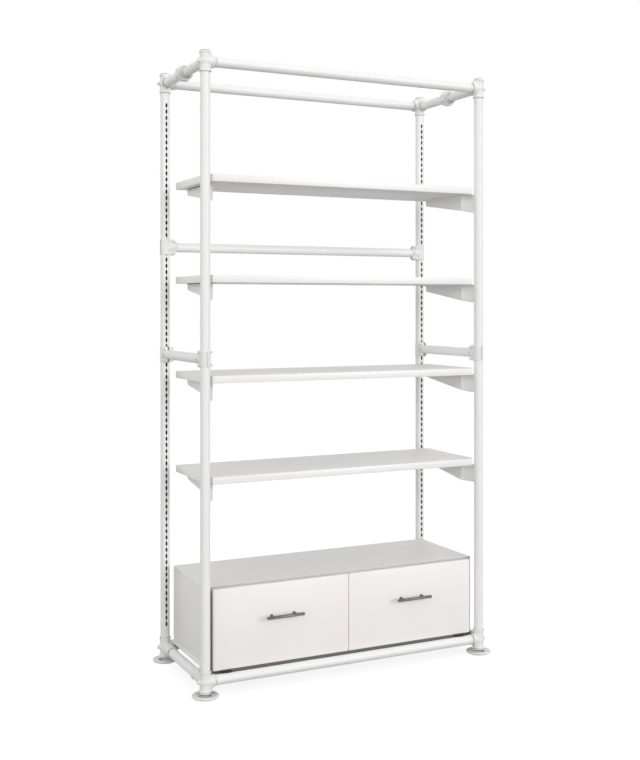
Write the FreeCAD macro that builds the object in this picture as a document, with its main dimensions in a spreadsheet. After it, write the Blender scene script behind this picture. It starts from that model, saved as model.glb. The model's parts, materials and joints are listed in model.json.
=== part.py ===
import FreeCAD, Part
import math
import os
import re
import Sketcher

# Shelving unit of round pipe: four slotted uprights, pipe rails in cast corner fittings and split
# clamps, four bracket shelves and a cabinet of two drawers on telescopic runners.
# Millimetres. +X is to the right, +Y to the back, +Z up. The origin is on the floor, in the middle.

doc = FreeCAD.newDocument("shelving_unit")

# Counts
SHELF_COUNT = 4
FIRST_SHELF_SLOT_COUNT = 24
SHELF_STEP_SLOT_COUNT = 15
HOOK_COUNT = 2
ROUND_SIDES = 16
FOOT_SIDES = 24

# Driving sizes, each written once. Every other size is a formula of these.
SIZES = {
    # Frame: distances between the axes of the uprights, and heights of the rail axes. The upper
    # rails follow the shelves: the top rails stand over the top shelf, and the middle ones over the
    # underside of a shelf lower down.
    "post_span_x": 1224,
    "post_span_y": 478,
    "pipe_diameter": 38.1,
    "pipe_wall": 2.6,
    "bottom_rail_height": 59,
    "side_rail_over_shelf": 92,
    "back_rail_over_shelf": 152,
    "top_rail_over_shelf": 418,
    # Slots, punched through a narrow flat that is rolled along each upright
    "slot_pitch": 25.4,
    "slot_width": 5.5,
    "slot_length": 14.5,
    "first_slot_height": 155.6,
    "slot_end_margin": 45,
    "slot_flat_width": 8,
    # Corner fittings, with the boss and screw on their outer sides and the plug on the top ones
    "fitting_wall": 3.95,
    "fitting_socket": 25,
    "fitting_collar": 18,
    "boss_width": 20,
    "boss_rise": 3,
    "screw_head_width": 16,
    "screw_head_height": 7,
    "plug_width": 33,
    "plug_height": 2,
    # Feet: round flanges with a raised hub, under the bottom fittings
    "foot_diameter": 102,
    "foot_rim": 9,
    "foot_hub_wall": 8,
    "foot_hub_rise": 5,
    # Unions in the middle of the top side rails
    "union_nut_width": 68,
    "union_nut_length": 34,
    "union_end_width": 54,
    "union_end_length": 14,
    # Split clamps that hold the middle rails on the uprights. A web joins sleeve and arm, and ends
    # in a slope from its shoulder down to the arm.
    "clamp_wall": 4.85,
    "clamp_height": 66,
    "clamp_socket": 34,
    "clamp_split": 6,
    "clamp_play": 0.1,
    "web_thickness": 14,
    "web_slope": 12,
    "bolt_clearance": 7,
    "bolt_from_edge": 7.5,
    "bolt_head_width": 13,
    "bolt_head_height": 6,
    # Shelves, with front corners notched round the front uprights
    "shelf_thickness": 28,
    "shelf_back_inset": 98,
    "shelf_end_inset": 13,
    "shelf_notch_clearance": 10.95,
    # Shelf brackets: sheet steel, hooked in the front uprights and joggled in under the shelf
    "bracket_sheet": 3,
    "bracket_height": 76,
    "bracket_root_height": 67,
    "bracket_tip_height": 26,
    "bracket_back_inset": 40,
    "bracket_offset": 50,
    "bracket_straight": 34,
    "bracket_joggle_end": 56,
    "bracket_flange_width": 20,
    "bracket_play": 0.3,
    "hook_drop": 26.8,
    "hook_neck": 9,
    "hook_lip": 4.5,
    # Bearers: angle irons across the bottom rails, under the cabinet
    "bearer_sheet": 3,
    "bearer_width": 40,
    "bearer_depth": 25,
    "bearer_inset": 70,
    "bearer_seat_play": 0.2,
    "bearer_leg_clearance": 8,
    "bearer_screw_head_width": 11,
    "bearer_screw_head_height": 2.4,
    "bearer_screw_inset": 60,
    # Cabinet of faced board
    "cabinet_end_inset": 20,
    "cabinet_front_inset": 34,
    "cabinet_back_inset": 50,
    "cabinet_height": 320,
    "board": 18,
    "back_board": 6,
    "back_inset": 8,
    # Drawer fronts
    "front_board": 19,
    "front_gap": 3,
    "front_end_inset": 37,
    "front_between": 3,
    "front_foot_reveal": 6.5,
    "front_head_reveal": 7,
    # Drawer boxes
    "box_board": 12,
    "box_headroom": 50,
    "box_back_gap": 33,
    "box_lift": 14,
    "box_floor": 5,
    "box_floor_lift": 10,
    "box_groove": 5,
    # Telescopic runners: three channels, one in the other
    "runner_back_gap": 40,
    "runner_height": 45,
    "runner_space": 12.7,
    "runner_wall": 1.3,
    "runner_play": 0.4,
    "runner_lift": 70,
    # Bar handles
    "handle_length": 156,
    "handle_diameter": 12,
    "handle_overhang": 30,
    "handle_projection": 32,
    "handle_post_diameter": 8,
    "handle_drop": 125,
}

# Sizes and places that follow from the driving ones.
WORKED_OUT = {
    "first_hook_height": f"first_slot_height + {FIRST_SHELF_SLOT_COUNT} * slot_pitch",
    "first_shelf_underside": "first_hook_height + hook_drop",
    "shelf_step": f"{SHELF_STEP_SLOT_COUNT} * slot_pitch",
    "side_mid_rail_height": "first_shelf_underside + shelf_step + side_rail_over_shelf",
    "back_mid_rail_height": "first_shelf_underside + 2 * shelf_step + back_rail_over_shelf",
    "top_shelf_face": f"first_shelf_underside + {SHELF_COUNT - 1} * shelf_step + shelf_thickness",
    "top_rail_height": "top_shelf_face + top_rail_over_shelf",
    "post_x": "post_span_x / 2",
    "post_y": "post_span_y / 2",
    "pipe_radius": "pipe_diameter / 2",
    "bore_radius": "pipe_radius - pipe_wall",
    "pipe_flat": "sqrt(pipe_radius ^ 2 - (slot_flat_width / 2) ^ 2)",
    "bore_flat": "sqrt(bore_radius ^ 2 - (slot_flat_width / 2) ^ 2)",
    "fitting_radius": "pipe_radius + fitting_wall",
    "fitting_reach": "fitting_radius + fitting_socket",
    "fitting_rise": "fitting_radius + fitting_collar",
    "boss_reach": "fitting_radius + boss_rise",
    "post_bottom": "bottom_rail_height + fitting_rise",
    "post_top": "top_rail_height - fitting_rise",
    "rail_end_x": "post_x - fitting_reach",
    "rail_end_y": "post_y - fitting_reach",
    "mid_rail_end_x": "post_x - clamp_reach",
    "mid_rail_end_y": "post_y - clamp_reach",
    "foot_hub_diameter": "2 * (fitting_radius + foot_hub_wall)",
    "foot_height": "foot_rim + foot_hub_rise",
    "foot_reach": "bottom_rail_height - foot_height",
    "union_half": "union_nut_length / 2",
    "union_reach": "union_half + union_end_length",
    "clamp_bore_radius": "pipe_radius + clamp_play",
    "clamp_radius": "clamp_bore_radius + clamp_wall",
    "clamp_reach": "clamp_radius + clamp_socket",
    "bolt_from_post": "clamp_radius + bolt_clearance",
    "slot_count": "floor((post_top - slot_end_margin - first_slot_height) / slot_pitch) + 1",
    "shelf_x": "post_x - shelf_end_inset",
    "shelf_notch_x": "post_x - pipe_radius - shelf_notch_clearance",
    "shelf_notch_y": "pipe_radius + shelf_notch_clearance - post_y",
    "shelf_back": "post_y - shelf_back_inset",
    "bracket_reach": "shelf_back + post_y - bracket_back_inset",
    "bracket_face": "pipe_flat + bracket_play",
    "rail_top": "bottom_rail_height + pipe_radius + bearer_seat_play",
    "bearer_outer": "post_x - bearer_inset",
    "bearer_inner": "bearer_outer - bearer_width",
    "bearer_leg_end": "post_y - pipe_radius - bearer_leg_clearance",
    "cabinet_x": "post_x - cabinet_end_inset",
    "cabinet_front": "cabinet_front_inset - post_y",
    "cabinet_back": "post_y - cabinet_back_inset",
    "cabinet_bottom": "rail_top + bearer_sheet",
    "cabinet_top": "cabinet_bottom + cabinet_height",
    "cabinet_floor": "cabinet_bottom + board",
    "cabinet_ceiling": "cabinet_top - board",
    "back_front_face": "cabinet_back - back_inset - back_board",
    "front_outer": "post_x - front_end_inset",
    "front_inner": "front_between / 2",
    "front_back_face": "cabinet_front - front_gap",
    "front_face": "front_back_face - front_board",
    "front_bottom": "cabinet_bottom + front_foot_reveal",
    "front_top": "cabinet_top - front_head_reveal",
    "bay_inner": "board / 2",
    "bay_outer": "cabinet_x - board",
    "box_inner": "bay_inner + runner_space",
    "box_outer": "bay_outer - runner_space",
    "box_bottom": "cabinet_floor + box_lift",
    "box_top": "cabinet_ceiling - box_headroom",
    "box_back": "back_front_face - box_back_gap",
    "box_floor_bottom": "box_bottom + box_floor_lift",
    "box_floor_top": "box_floor_bottom + box_floor",
    "runner_middle": "box_bottom + runner_lift",
    "runner_length": "back_front_face - runner_back_gap - cabinet_front",
    "handle_height": "front_top - handle_drop",
    "handle_middle": "(front_inner + front_outer) / 2",
    "handle_axis": "front_face - handle_projection",
    "handle_centres": "handle_length - 2 * handle_overhang",
}

sheet = doc.addObject("Spreadsheet::Sheet", "dims")
for row, (name, size) in enumerate(SIZES.items(), start=1):
    sheet.set(f"A{row}", name)
    sheet.set(f"B{row}", str(size))
    sheet.setAlias(f"B{row}", name)
doc.recompute()

MATHS = ("floor", "cos", "sqrt")
PLACES = ("x", "y", "z")
TOWARDS = {
    "x": FreeCAD.Rotation(FreeCAD.Vector(0, 1, 0), 90),
    "-x": FreeCAD.Rotation(FreeCAD.Vector(0, 1, 0), -90),
    "y": FreeCAD.Rotation(FreeCAD.Vector(1, 0, 0), -90),
    "-y": FreeCAD.Rotation(FreeCAD.Vector(1, 0, 0), 90),
    "z": FreeCAD.Rotation(),
    "-z": FreeCAD.Rotation(FreeCAD.Vector(1, 0, 0), 180),
}
ACROSS = {"x": FreeCAD.Vector(1, 0, 0), "y": FreeCAD.Vector(0, 1, 0)}
NODES = []


def formula(text):
    """A formula of size names, written as an expression on the sheet."""

    def swap(match):
        name = match.group(0)
        if name in WORKED_OUT:
            return f"({formula(WORKED_OUT[name])})"
        if name in MATHS:
            return name
        return f"dims.{name}"

    return re.sub(r"[a-z][a-z_0-9]*", swap, str(text))


def value(text):
    """The number that a formula comes to at the present sizes."""
    return float(sheet.evalExpression(formula(text)))


def bind(item, **formulas):
    """Bind properties of an object to formulas of the sizes."""
    for name, text in formulas.items():
        item.setExpression(name, formula(text))
    return item


def put(item, at, rotation=None):
    """Place an object at three formulas."""
    if rotation is not None:
        item.Placement.Rotation = rotation
    for axis, text in zip(PLACES, at):
        item.setExpression(f"Placement.Base.{axis}", formula(text))
    return item


def label(item, name):
    """Name a finished sub-part, so that it is written to a file of that name."""
    item.Label = name
    NODES.append(item)
    return item


def box(name, x_range, y_range, z_range):
    """A block between pairs of formulas along X, Y and Z."""
    item = doc.addObject("Part::Box", name)
    ranges = (x_range, y_range, z_range)
    for side, (low, high) in zip(("Length", "Width", "Height"), ranges):
        item.setExpression(side, formula(f"({high}) - ({low})"))
    return put(item, [low for low, high in ranges])


def rod(name, diameter, length, start, towards):
    """A round bar from a start point, in one of the directions of TOWARDS."""
    item = doc.addObject("Part::Cylinder", name)
    bind(item, Radius=f"({diameter}) / 2", Height=length)
    return put(item, start, TOWARDS[towards])


def prism(name, sides, width, length, start, towards):
    """A bar of a regular outline, measured across its corners."""
    item = doc.addObject("Part::Prism", name)
    item.Polygon = sides
    bind(item, Circumradius=f"({width}) / 2", Height=length)
    return put(item, start, TOWARDS[towards])


def cut(name, base, tool):
    item = doc.addObject("Part::Cut", name)
    item.Base = base
    item.Tool = tool
    return item


def fuse(name, parts):
    item = doc.addObject("Part::MultiFuse", name)
    item.Shapes = parts
    return item


def group(name, parts):
    """Several loose solids as one object."""
    item = doc.addObject("Part::Compound", name)
    item.Links = parts
    return item


def mirrored(name, source, axis):
    """A copy of an object on the other side of the middle, across X or Y."""
    item = doc.addObject("Part::Mirroring", name)
    item.Source = source
    item.Normal = ACROSS[axis]
    return item


def four_corners(name, source):
    """An object and its copies at the other three uprights."""
    left = mirrored(f"{name}_left", source, "x")
    front = [mirrored(f"{name}_front_right", source, "y"), mirrored(f"{name}_front_left", left, "y")]
    return group(name, [source, left, *front])


def left_and_right(name, source):
    return group(name, [source, mirrored(f"{name}_left", source, "x")])


def plane(body, role):
    """An origin plane or axis of a body."""
    return next(item for item in body.Origin.OriginFeatures if item.Role == role)


def sketch_on(body, name, role, lift=None):
    """An empty sketch on an origin plane of its body, lifted along the plane's normal."""
    sketch = body.newObject("Sketcher::SketchObject", name)
    sketch.AttachmentSupport = [(plane(body, role), "")]
    sketch.MapMode = "FlatFace"
    if lift is not None:
        sketch.setExpression("AttachmentOffset.Base.z", formula(lift))
    return sketch


def add_outline(sketch, corners):
    """A closed outline whose corners are pairs of formulas, each bound to the sheet."""
    points = [FreeCAD.Vector(value(across), value(up), 0) for across, up in corners]
    first = sketch.GeometryCount
    count = len(points)
    for index, point in enumerate(points):
        sketch.addGeometry(Part.LineSegment(point, points[(index + 1) % count]), False)
    for index, (across, up) in enumerate(corners):
        line = first + index
        sketch.addConstraint(Sketcher.Constraint("Coincident", line, 2, first + (index + 1) % count, 1))
        for kind, text in (("DistanceX", across), ("DistanceY", up)):
            number = sketch.addConstraint(Sketcher.Constraint(kind, -1, 1, line, 1, value(text)))
            sketch.setExpression(f"Constraints[{number}]", formula(text))


def add_flattened_circle(sketch, radius, flat):
    """A circle round the sketch's origin with a flat of the given width on its lower side."""
    half = math.asin(value(flat) / 2 / value(radius))
    down = -math.pi / 2
    whole = Part.Circle(FreeCAD.Vector(), FreeCAD.Vector(0, 0, 1), value(radius))
    arc = sketch.addGeometry(Part.ArcOfCircle(whole, down + half, down + 2 * math.pi - half), False)
    ends = [sketch.getPoint(arc, 2), sketch.getPoint(arc, 1)]
    line = sketch.addGeometry(Part.LineSegment(ends[0], ends[1]), False)
    sketch.addConstraint(Sketcher.Constraint("Coincident", arc, 3, -1, 1))
    sketch.addConstraint(Sketcher.Constraint("Coincident", arc, 2, line, 1))
    sketch.addConstraint(Sketcher.Constraint("Coincident", arc, 1, line, 2))
    sketch.addConstraint(Sketcher.Constraint("Horizontal", line))
    for kind, text, places in (("Radius", radius, (arc,)), ("DistanceX", flat, (line, 1, line, 2))):
        number = sketch.addConstraint(Sketcher.Constraint(kind, *places, value(text)))
        sketch.setExpression(f"Constraints[{number}]", formula(text))


def regular(sides, width):
    """Corners of a regular outline, measured across its corners."""
    turns = [math.radians(360 * index / sides) for index in range(sides)]
    return [(f"{math.cos(turn):.6f} * {width} / 2", f"{math.sin(turn):.6f} * {width} / 2") for turn in turns]


def pad(body, name, sketch, length, backwards=False, middle=False):
    item = body.newObject("PartDesign::Pad", name)
    item.Profile = sketch
    bind(item, Length=length)
    item.Reversed = backwards
    item.Midplane = middle
    body.Tip = item
    return item


def pocket(body, name, sketch, length, backwards=False, middle=False):
    item = body.newObject("PartDesign::Pocket", name)
    item.Profile = sketch
    bind(item, Length=length)
    item.Reversed = backwards
    item.Midplane = middle
    body.Tip = item
    return item


def pattern(body, name, feature, role, length, count):
    """A row of copies of a feature along an axis of its body."""
    item = body.newObject("PartDesign::LinearPattern", name)
    item.Originals = [feature]
    item.Direction = (plane(body, role), [""])
    bind(item, Length=length, Occurrences=count)
    body.Tip = item
    return item


def new_body(name):
    return doc.addObject("PartDesign::Body", name)


# Uprights. Each is a pipe with a flat rolled along the side that faces into the unit. The flat of the
# back ones is slotted all the way up, and that of the front ones where the shelf brackets hook in.
def upright_pipe(name):
    body = new_body(name)
    section = sketch_on(body, f"{name}_section", "XY_Plane", "post_bottom")
    add_flattened_circle(section, "pipe_radius", "slot_flat_width")
    add_flattened_circle(section, "bore_radius", "slot_flat_width")
    pad(body, f"{name}_pipe", section, "post_top - post_bottom")
    return body


def slot_outline(sketch, middle):
    low = f"{middle} - slot_length / 2"
    high = f"{middle} + slot_length / 2"
    side = "slot_width / 2"
    add_outline(sketch, [(f"0 - {side}", low), (side, low), (side, high), (f"0 - {side}", high)])


def back_upright():
    body = upright_pipe("back_upright")
    sketch = sketch_on(body, "back_slot", "XZ_Plane")
    slot_outline(sketch, "first_slot_height")
    slot = pocket(body, "back_slot_cut", sketch, "pipe_radius", backwards=True)
    pattern(body, "back_slots", slot, "Z_Axis", "(slot_count - 1) * slot_pitch", "slot_count")
    return put(body, ("post_x", "post_y", "0"))


def front_upright():
    body = upright_pipe("front_upright")
    sketch = sketch_on(body, "front_slots", "XZ_Plane")
    for hook in range(HOOK_COUNT):
        slot_outline(sketch, f"(first_hook_height - {hook} * slot_pitch)")
    slots = pocket(body, "front_slots_cut", sketch, "pipe_radius", backwards=True)
    pattern(body, "front_slot_sets", slots, "Z_Axis", f"{SHELF_COUNT - 1} * shelf_step", SHELF_COUNT)
    return put(body, ("post_x", "0 - post_y", "0"), FreeCAD.Rotation(180, 0, 0))


back_right = back_upright()
front_right = front_upright()
label(back_right, "upright_back_right")
label(front_right, "upright_front_right")
label(mirrored("back_left", back_right, "x"), "upright_back_left")
label(mirrored("front_left", front_right, "x"), "upright_front_left")


# Rails of plain pipe. Their ends are closed by the fittings, and they are solid inside.
def rail_along_x(name, height, depth, end):
    return rod(name, "pipe_diameter", f"2 * {end}", (f"0 - {end}", depth, height), "x")


def rails_along_y(name, height, start, length):
    return rod(name, "pipe_diameter", length, ("post_x", start, height), "y")


label(rail_along_x("trf", "top_rail_height", "0 - post_y", "rail_end_x"), "top_rail_front")
label(rail_along_x("trb", "top_rail_height", "post_y", "rail_end_x"), "top_rail_back")
label(rail_along_x("mrb", "back_mid_rail_height", "post_y", "mid_rail_end_x"), "mid_rail_back")
label(rail_along_x("brf", "bottom_rail_height", "0 - post_y", "rail_end_x"), "bottom_rail_front")
label(rail_along_x("brb", "bottom_rail_height", "post_y", "rail_end_x"), "bottom_rail_back")

top_pipe = rails_along_y("top_side_pipe", "top_rail_height", "union_reach", "rail_end_y - union_reach")
label(four_corners("top_side_pipe_set", top_pipe), "top_side_pipes")
mid_pipe = rails_along_y("mid_side_rail", "side_mid_rail_height", "0 - mid_rail_end_y", "2 * mid_rail_end_y")
label(left_and_right("mid_side_rail_pair", mid_pipe), "mid_side_rails")
low_pipe = rails_along_y("bottom_side_rail", "bottom_rail_height", "0 - rail_end_y", "2 * rail_end_y")
label(left_and_right("bottom_side_rail_pair", low_pipe), "bottom_side_rails")

union_nut = prism(
    "union_nut",
    8,
    "union_nut_width",
    "union_nut_length",
    ("post_x", "0 - union_half", "top_rail_height"),
    "y",
)
label(left_and_right("union_nut_pair", union_nut), "union_nuts")
union_end = prism(
    "union_end",
    8,
    "union_end_width",
    "union_end_length",
    ("post_x", "union_half", "top_rail_height"),
    "y",
)
label(four_corners("union_end_set", union_end), "union_ends")


# Corner fittings: a barrel for the upright, an arm for each rail and a boss for the screw outside.
def corner_fitting(name, below):
    body = new_body(name)
    width = "(2 * fitting_radius)"
    barrel = sketch_on(body, f"{name}_barrel", "XY_Plane", f"0 - {below}")
    add_outline(barrel, regular(ROUND_SIDES, width))
    pad(body, f"{name}_barrel_pad", barrel, f"{below} + fitting_rise")
    for role, arm in (("YZ_Plane", "rail_x"), ("XZ_Plane", "rail_y")):
        section = sketch_on(body, f"{name}_{arm}", role)
        add_outline(section, regular(ROUND_SIDES, width))
        pad(body, f"{name}_{arm}_pad", section, "fitting_reach", backwards=role == "YZ_Plane")
    boss = sketch_on(body, f"{name}_boss", "YZ_Plane")
    add_outline(boss, regular(6, "boss_width"))
    pad(body, f"{name}_boss_pad", boss, "boss_reach")
    return body


top_fitting = put(corner_fitting("top_fitting", "fitting_rise"), ("post_x", "post_y", "top_rail_height"))
low_fitting = put(corner_fitting("low_fitting", "foot_reach"), ("post_x", "post_y", "bottom_rail_height"))
label(four_corners("top_fitting_set", top_fitting), "top_corner_fittings")
label(four_corners("low_fitting_set", low_fitting), "bottom_corner_fittings")


def corner_screw(name, height):
    start = ("post_x + boss_reach", "post_y", height)
    return prism(name, 6, "screw_head_width", "screw_head_height", start, "x")


screws = [
    four_corners("top_screws", corner_screw("top_screw", "top_rail_height")),
    four_corners("low_screws", corner_screw("low_screw", "bottom_rail_height")),
]
label(group("corner_screw_set", screws), "corner_screws")

plug_start = ("post_x", "post_y", "top_rail_height + fitting_rise")
top_plug = prism("top_plug", 6, "plug_width", "plug_height", plug_start, "z")
label(four_corners("top_plug_set", top_plug), "top_plugs")


def foot_flange():
    """A round flange: a broad rim with a raised hub under the fitting."""
    body = new_body("foot")
    rim = sketch_on(body, "foot_rim_outline", "XY_Plane")
    add_outline(rim, regular(FOOT_SIDES, "foot_diameter"))
    pad(body, "foot_rim_pad", rim, "foot_rim")
    hub = sketch_on(body, "foot_hub_outline", "XY_Plane")
    add_outline(hub, regular(ROUND_SIDES, "foot_hub_diameter"))
    pad(body, "foot_hub_pad", hub, "foot_height")
    return put(body, ("post_x", "post_y", "0"))


label(four_corners("foot_set", foot_flange()), "foot_flanges")


# Split clamps. Each half has half the sleeve round the upright, half the arm that the rail ends in
# and a web beside them. A bolt above the rail and one below it pull the webs together.
BOLTS = (("above", "+"), ("below", "-"))


def clamp_half(name, keeps):
    """Half a clamp round an upright on the local Z axis, with its arm towards -Y, on the keeps side."""
    body = new_body(name)
    sleeve = sketch_on(body, f"{name}_sleeve", "XY_Plane")
    add_outline(sleeve, regular(ROUND_SIDES, "(2 * clamp_radius)"))
    pad(body, f"{name}_sleeve_pad", sleeve, "clamp_height", middle=True)
    arm = sketch_on(body, f"{name}_arm", "XZ_Plane")
    add_outline(arm, regular(ROUND_SIDES, "(2 * fitting_radius)"))
    pad(body, f"{name}_arm_pad", arm, "clamp_reach")

    web = sketch_on(body, f"{name}_web", "YZ_Plane")
    upper = [
        ("0", "clamp_height / 2"),
        ("web_slope - clamp_reach", "clamp_height / 2"),
        ("0 - clamp_reach", "fitting_radius"),
    ]
    lower = [(across, f"0 - {up}") for across, up in reversed(upper)]
    add_outline(web, upper + lower)
    pad(body, f"{name}_web_pad", web, "2 * web_thickness", middle=True)

    bore = sketch_on(body, f"{name}_bore", "XY_Plane")
    add_outline(bore, regular(ROUND_SIDES, f"(2 * clamp_bore_radius / cos(180 / {ROUND_SIDES}))"))
    pocket(body, f"{name}_bore_cut", bore, "2 * clamp_height", middle=True)
    spare = sketch_on(body, f"{name}_spare", "XY_Plane")
    wide = "2 * clamp_reach"
    ends = (f"0 - {wide}", "clamp_split / 2") if keeps == "x" else ("0 - clamp_split / 2", wide)
    corners = [(ends[0], f"0 - {wide}"), (ends[1], f"0 - {wide}"), (ends[1], wide), (ends[0], wide)]
    add_outline(spare, corners)
    pocket(body, f"{name}_spare_cut", spare, "2 * clamp_height", middle=True)
    return body


def bolt_place(post, arm_towards, split_towards, sign):
    """Where a clamp bolt comes out of the web, on the split_towards side."""
    x, y, z = post
    z = f"{z} {sign} (clamp_height / 2 - bolt_from_edge)"
    if arm_towards == "-x":
        return (f"{x} - bolt_from_post", f"{y} {'+' if split_towards == 'y' else '-'} web_thickness", z)
    return (f"{x} {'+' if split_towards == 'x' else '-'} web_thickness", f"{y} - bolt_from_post", z)


def clamp_bolt(name, post, arm_towards, split_towards):
    """The two bolt heads, or the two nuts, that sit on one half's web."""
    ends = []
    for side, sign in BOLTS:
        start = bolt_place(post, arm_towards, split_towards, sign)
        ends.append(prism(f"{name}_{side}", 6, "bolt_head_width", "bolt_head_height", start, split_towards))
    return ends


BACK_CLAMP = ("post_x", "post_y", "back_mid_rail_height")
SIDE_CLAMP = ("post_x", "post_y", "side_mid_rail_height")
QUARTER_TURN = FreeCAD.Rotation(-90, 0, 0)
clamp_bolts = []
for half, back_side, side_side, back_keeps in (("outer", "y", "x", "-x"), ("inner", "-y", "-x", "x")):
    back = put(clamp_half(f"back_clamp_{half}", back_keeps), BACK_CLAMP, QUARTER_TURN)
    side = put(clamp_half(f"side_clamp_{half}", side_side), SIDE_CLAMP)
    halves = [left_and_right(f"back_clamps_{half}", back), four_corners(f"side_clamps_{half}", side)]
    label(group(f"clamps_{half}", halves), f"clamp_{half}_halves")
    for end in clamp_bolt(f"back_bolt_{half}", BACK_CLAMP, "-x", back_side):
        clamp_bolts.append(left_and_right(f"{end.Name}_pair", end))
    for end in clamp_bolt(f"side_bolt_{half}", SIDE_CLAMP, "-y", side_side):
        clamp_bolts.append(four_corners(f"{end.Name}_set", end))
label(group("clamp_bolt_set", clamp_bolts), "clamp_bolts")


# Shelves, each a board notched round the front uprights.
def shelf(number):
    name = f"shelf_{number + 1}"
    body = new_body(name)
    underside = f"first_shelf_underside + {number} * shelf_step"
    sketch = sketch_on(body, f"{name}_outline", "XY_Plane", underside)
    right = [
        ("shelf_notch_x", "0 - post_y"),
        ("shelf_notch_x", "shelf_notch_y"),
        ("shelf_x", "shelf_notch_y"),
        ("shelf_x", "shelf_back"),
    ]
    left = [(f"0 - {across}", up) for across, up in reversed(right)]
    add_outline(sketch, right + left)
    pad(body, f"{name}_board", sketch, "shelf_thickness")
    return body


for number in range(SHELF_COUNT):
    board = shelf(number)
    label(board, board.Name)


# Shelf brackets. The local origin is on the upright's axis at the shelf's underside, +X points out of
# the unit, +Y to the back. One sheet runs back from the slots, joggles in under the shelf and tapers.
def bracket_plan():
    """The sheet's outline from above: the middle line of its three stretches, half a sheet each way."""
    half = "bracket_sheet / 2"
    line_x = "bracket_offset"
    outer = [
        (half, "bracket_face"),
        (half, "bracket_straight"),
        (f"{half} - {line_x}", "bracket_joggle_end"),
        (f"{half} - {line_x}", "bracket_reach"),
    ]
    inner = [
        (f"0 - {half} - {line_x}", "bracket_reach"),
        (f"0 - {half} - {line_x}", "bracket_joggle_end - bracket_sheet"),
        (f"0 - {half}", "bracket_straight - bracket_sheet"),
        (f"0 - {half}", "bracket_face"),
    ]
    return outer + inner


def shelf_bracket():
    body = new_body("bracket")
    plan = sketch_on(body, "bracket_plan", "XY_Plane")
    add_outline(plan, bracket_plan())
    pad(body, "bracket_blade", plan, "bracket_height", backwards=True)

    below = "0 - 2 * bracket_height"
    taper = sketch_on(body, "bracket_taper", "YZ_Plane")
    corners = [
        ("bracket_joggle_end", "0 - bracket_root_height"),
        ("bracket_reach", "0 - bracket_tip_height"),
        ("bracket_reach + bracket_height", "0 - bracket_tip_height"),
        ("bracket_reach + bracket_height", below),
        ("bracket_joggle_end", below),
    ]
    add_outline(taper, corners)
    pocket(body, "bracket_taper_cut", taper, "4 * bracket_offset", middle=True)

    flange = sketch_on(body, "bracket_flange", "XY_Plane")
    inner = "0 - bracket_offset - bracket_flange_width"
    outer = "0 - bracket_offset"
    ends = ("bracket_joggle_end", "bracket_reach")
    add_outline(flange, [(inner, ends[0]), (outer, ends[0]), (outer, ends[1]), (inner, ends[1])])
    pad(body, "bracket_flange_pad", flange, "bracket_sheet", backwards=True)

    hook = sketch_on(body, "bracket_hook", "YZ_Plane")
    seat = "(0 - hook_drop - slot_length / 2)"
    wall_inside = "(bore_flat - bracket_play)"
    tip = "(bore_flat - bracket_play - bracket_sheet)"
    corners = [
        ("bracket_face + bracket_sheet", seat),
        (wall_inside, seat),
        (wall_inside, f"{seat} - hook_lip"),
        (tip, f"{seat} - hook_lip"),
        (tip, f"{seat} + hook_neck"),
        ("bracket_face + bracket_sheet", f"{seat} + hook_neck"),
    ]
    add_outline(hook, corners)
    tooth = pad(body, "bracket_hook_pad", hook, "bracket_sheet", middle=True)
    row = pattern(body, "bracket_hooks", tooth, "Z_Axis", f"{HOOK_COUNT - 1} * slot_pitch", HOOK_COUNT)
    row.Reversed = True
    return body


for number in range(SHELF_COUNT):
    height = f"first_shelf_underside + {number} * shelf_step"
    bracket = put(shelf_bracket(), ("post_x", "0 - post_y", height))
    label(bracket, f"shelf_bracket_right_{number + 1}")
    label(mirrored(f"bracket_left_{number + 1}", bracket, "x"), f"shelf_bracket_left_{number + 1}")


# Bearers: angle irons from the front bottom rail to the back one, which carry the cabinet.
flat = box(
    "bearer_flat",
    ("bearer_inner", "bearer_outer"),
    ("0 - post_y", "post_y"),
    ("rail_top", "cabinet_bottom"),
)
leg = box(
    "bearer_leg",
    ("bearer_inner", "bearer_inner + bearer_sheet"),
    ("0 - bearer_leg_end", "bearer_leg_end"),
    ("cabinet_bottom - bearer_depth", "cabinet_bottom"),
)
bearer = fuse("bearer", [flat, leg])
label(left_and_right("bearer_pair", bearer), "cabinet_bearers")

bearer_middle = "(bearer_inner + bearer_outer) / 2"
rail_screw = prism(
    "rail_screw",
    6,
    "bearer_screw_head_width",
    "bearer_screw_head_height",
    (bearer_middle, "post_y", "cabinet_bottom"),
    "z",
)
board_screw = prism(
    "board_screw",
    6,
    "bearer_screw_head_width",
    "bearer_screw_head_height",
    (bearer_middle, "cabinet_back - bearer_screw_inset", "rail_top"),
    "-z",
)
screws = [four_corners("rail_screws", rail_screw), four_corners("board_screws", board_screw)]
label(group("bearer_screw_set", screws), "bearer_screws")

# Cabinet carcass: sides between floor and top, a divider in the middle and a back let in between them.
ACROSS_CABINET = ("0 - cabinet_x", "cabinet_x")
FULL_DEPTH = ("cabinet_front", "cabinet_back")
INNER_HEIGHT = ("cabinet_floor", "cabinet_ceiling")
floor_board = box("carcass_floor", ACROSS_CABINET, FULL_DEPTH, ("cabinet_bottom", "cabinet_floor"))
label(floor_board, "cabinet_floor_board")
top_board = box("carcass_top", ACROSS_CABINET, FULL_DEPTH, ("cabinet_ceiling", "cabinet_top"))
label(top_board, "cabinet_top_board")
side_board = box("carcass_side", ("bay_outer", "cabinet_x"), FULL_DEPTH, INNER_HEIGHT)
label(side_board, "cabinet_side_right")
label(mirrored("carcass_side_left", side_board, "x"), "cabinet_side_left")
divider_span = ("0 - bay_inner", "bay_inner")
divider = box("carcass_divider", divider_span, ("cabinet_front", "back_front_face"), INNER_HEIGHT)
label(divider, "cabinet_divider")
back_span = ("back_front_face", "back_front_face + back_board")
label(box("carcass_back", ("0 - bay_outer", "bay_outer"), back_span, INNER_HEIGHT), "cabinet_back_board")


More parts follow.
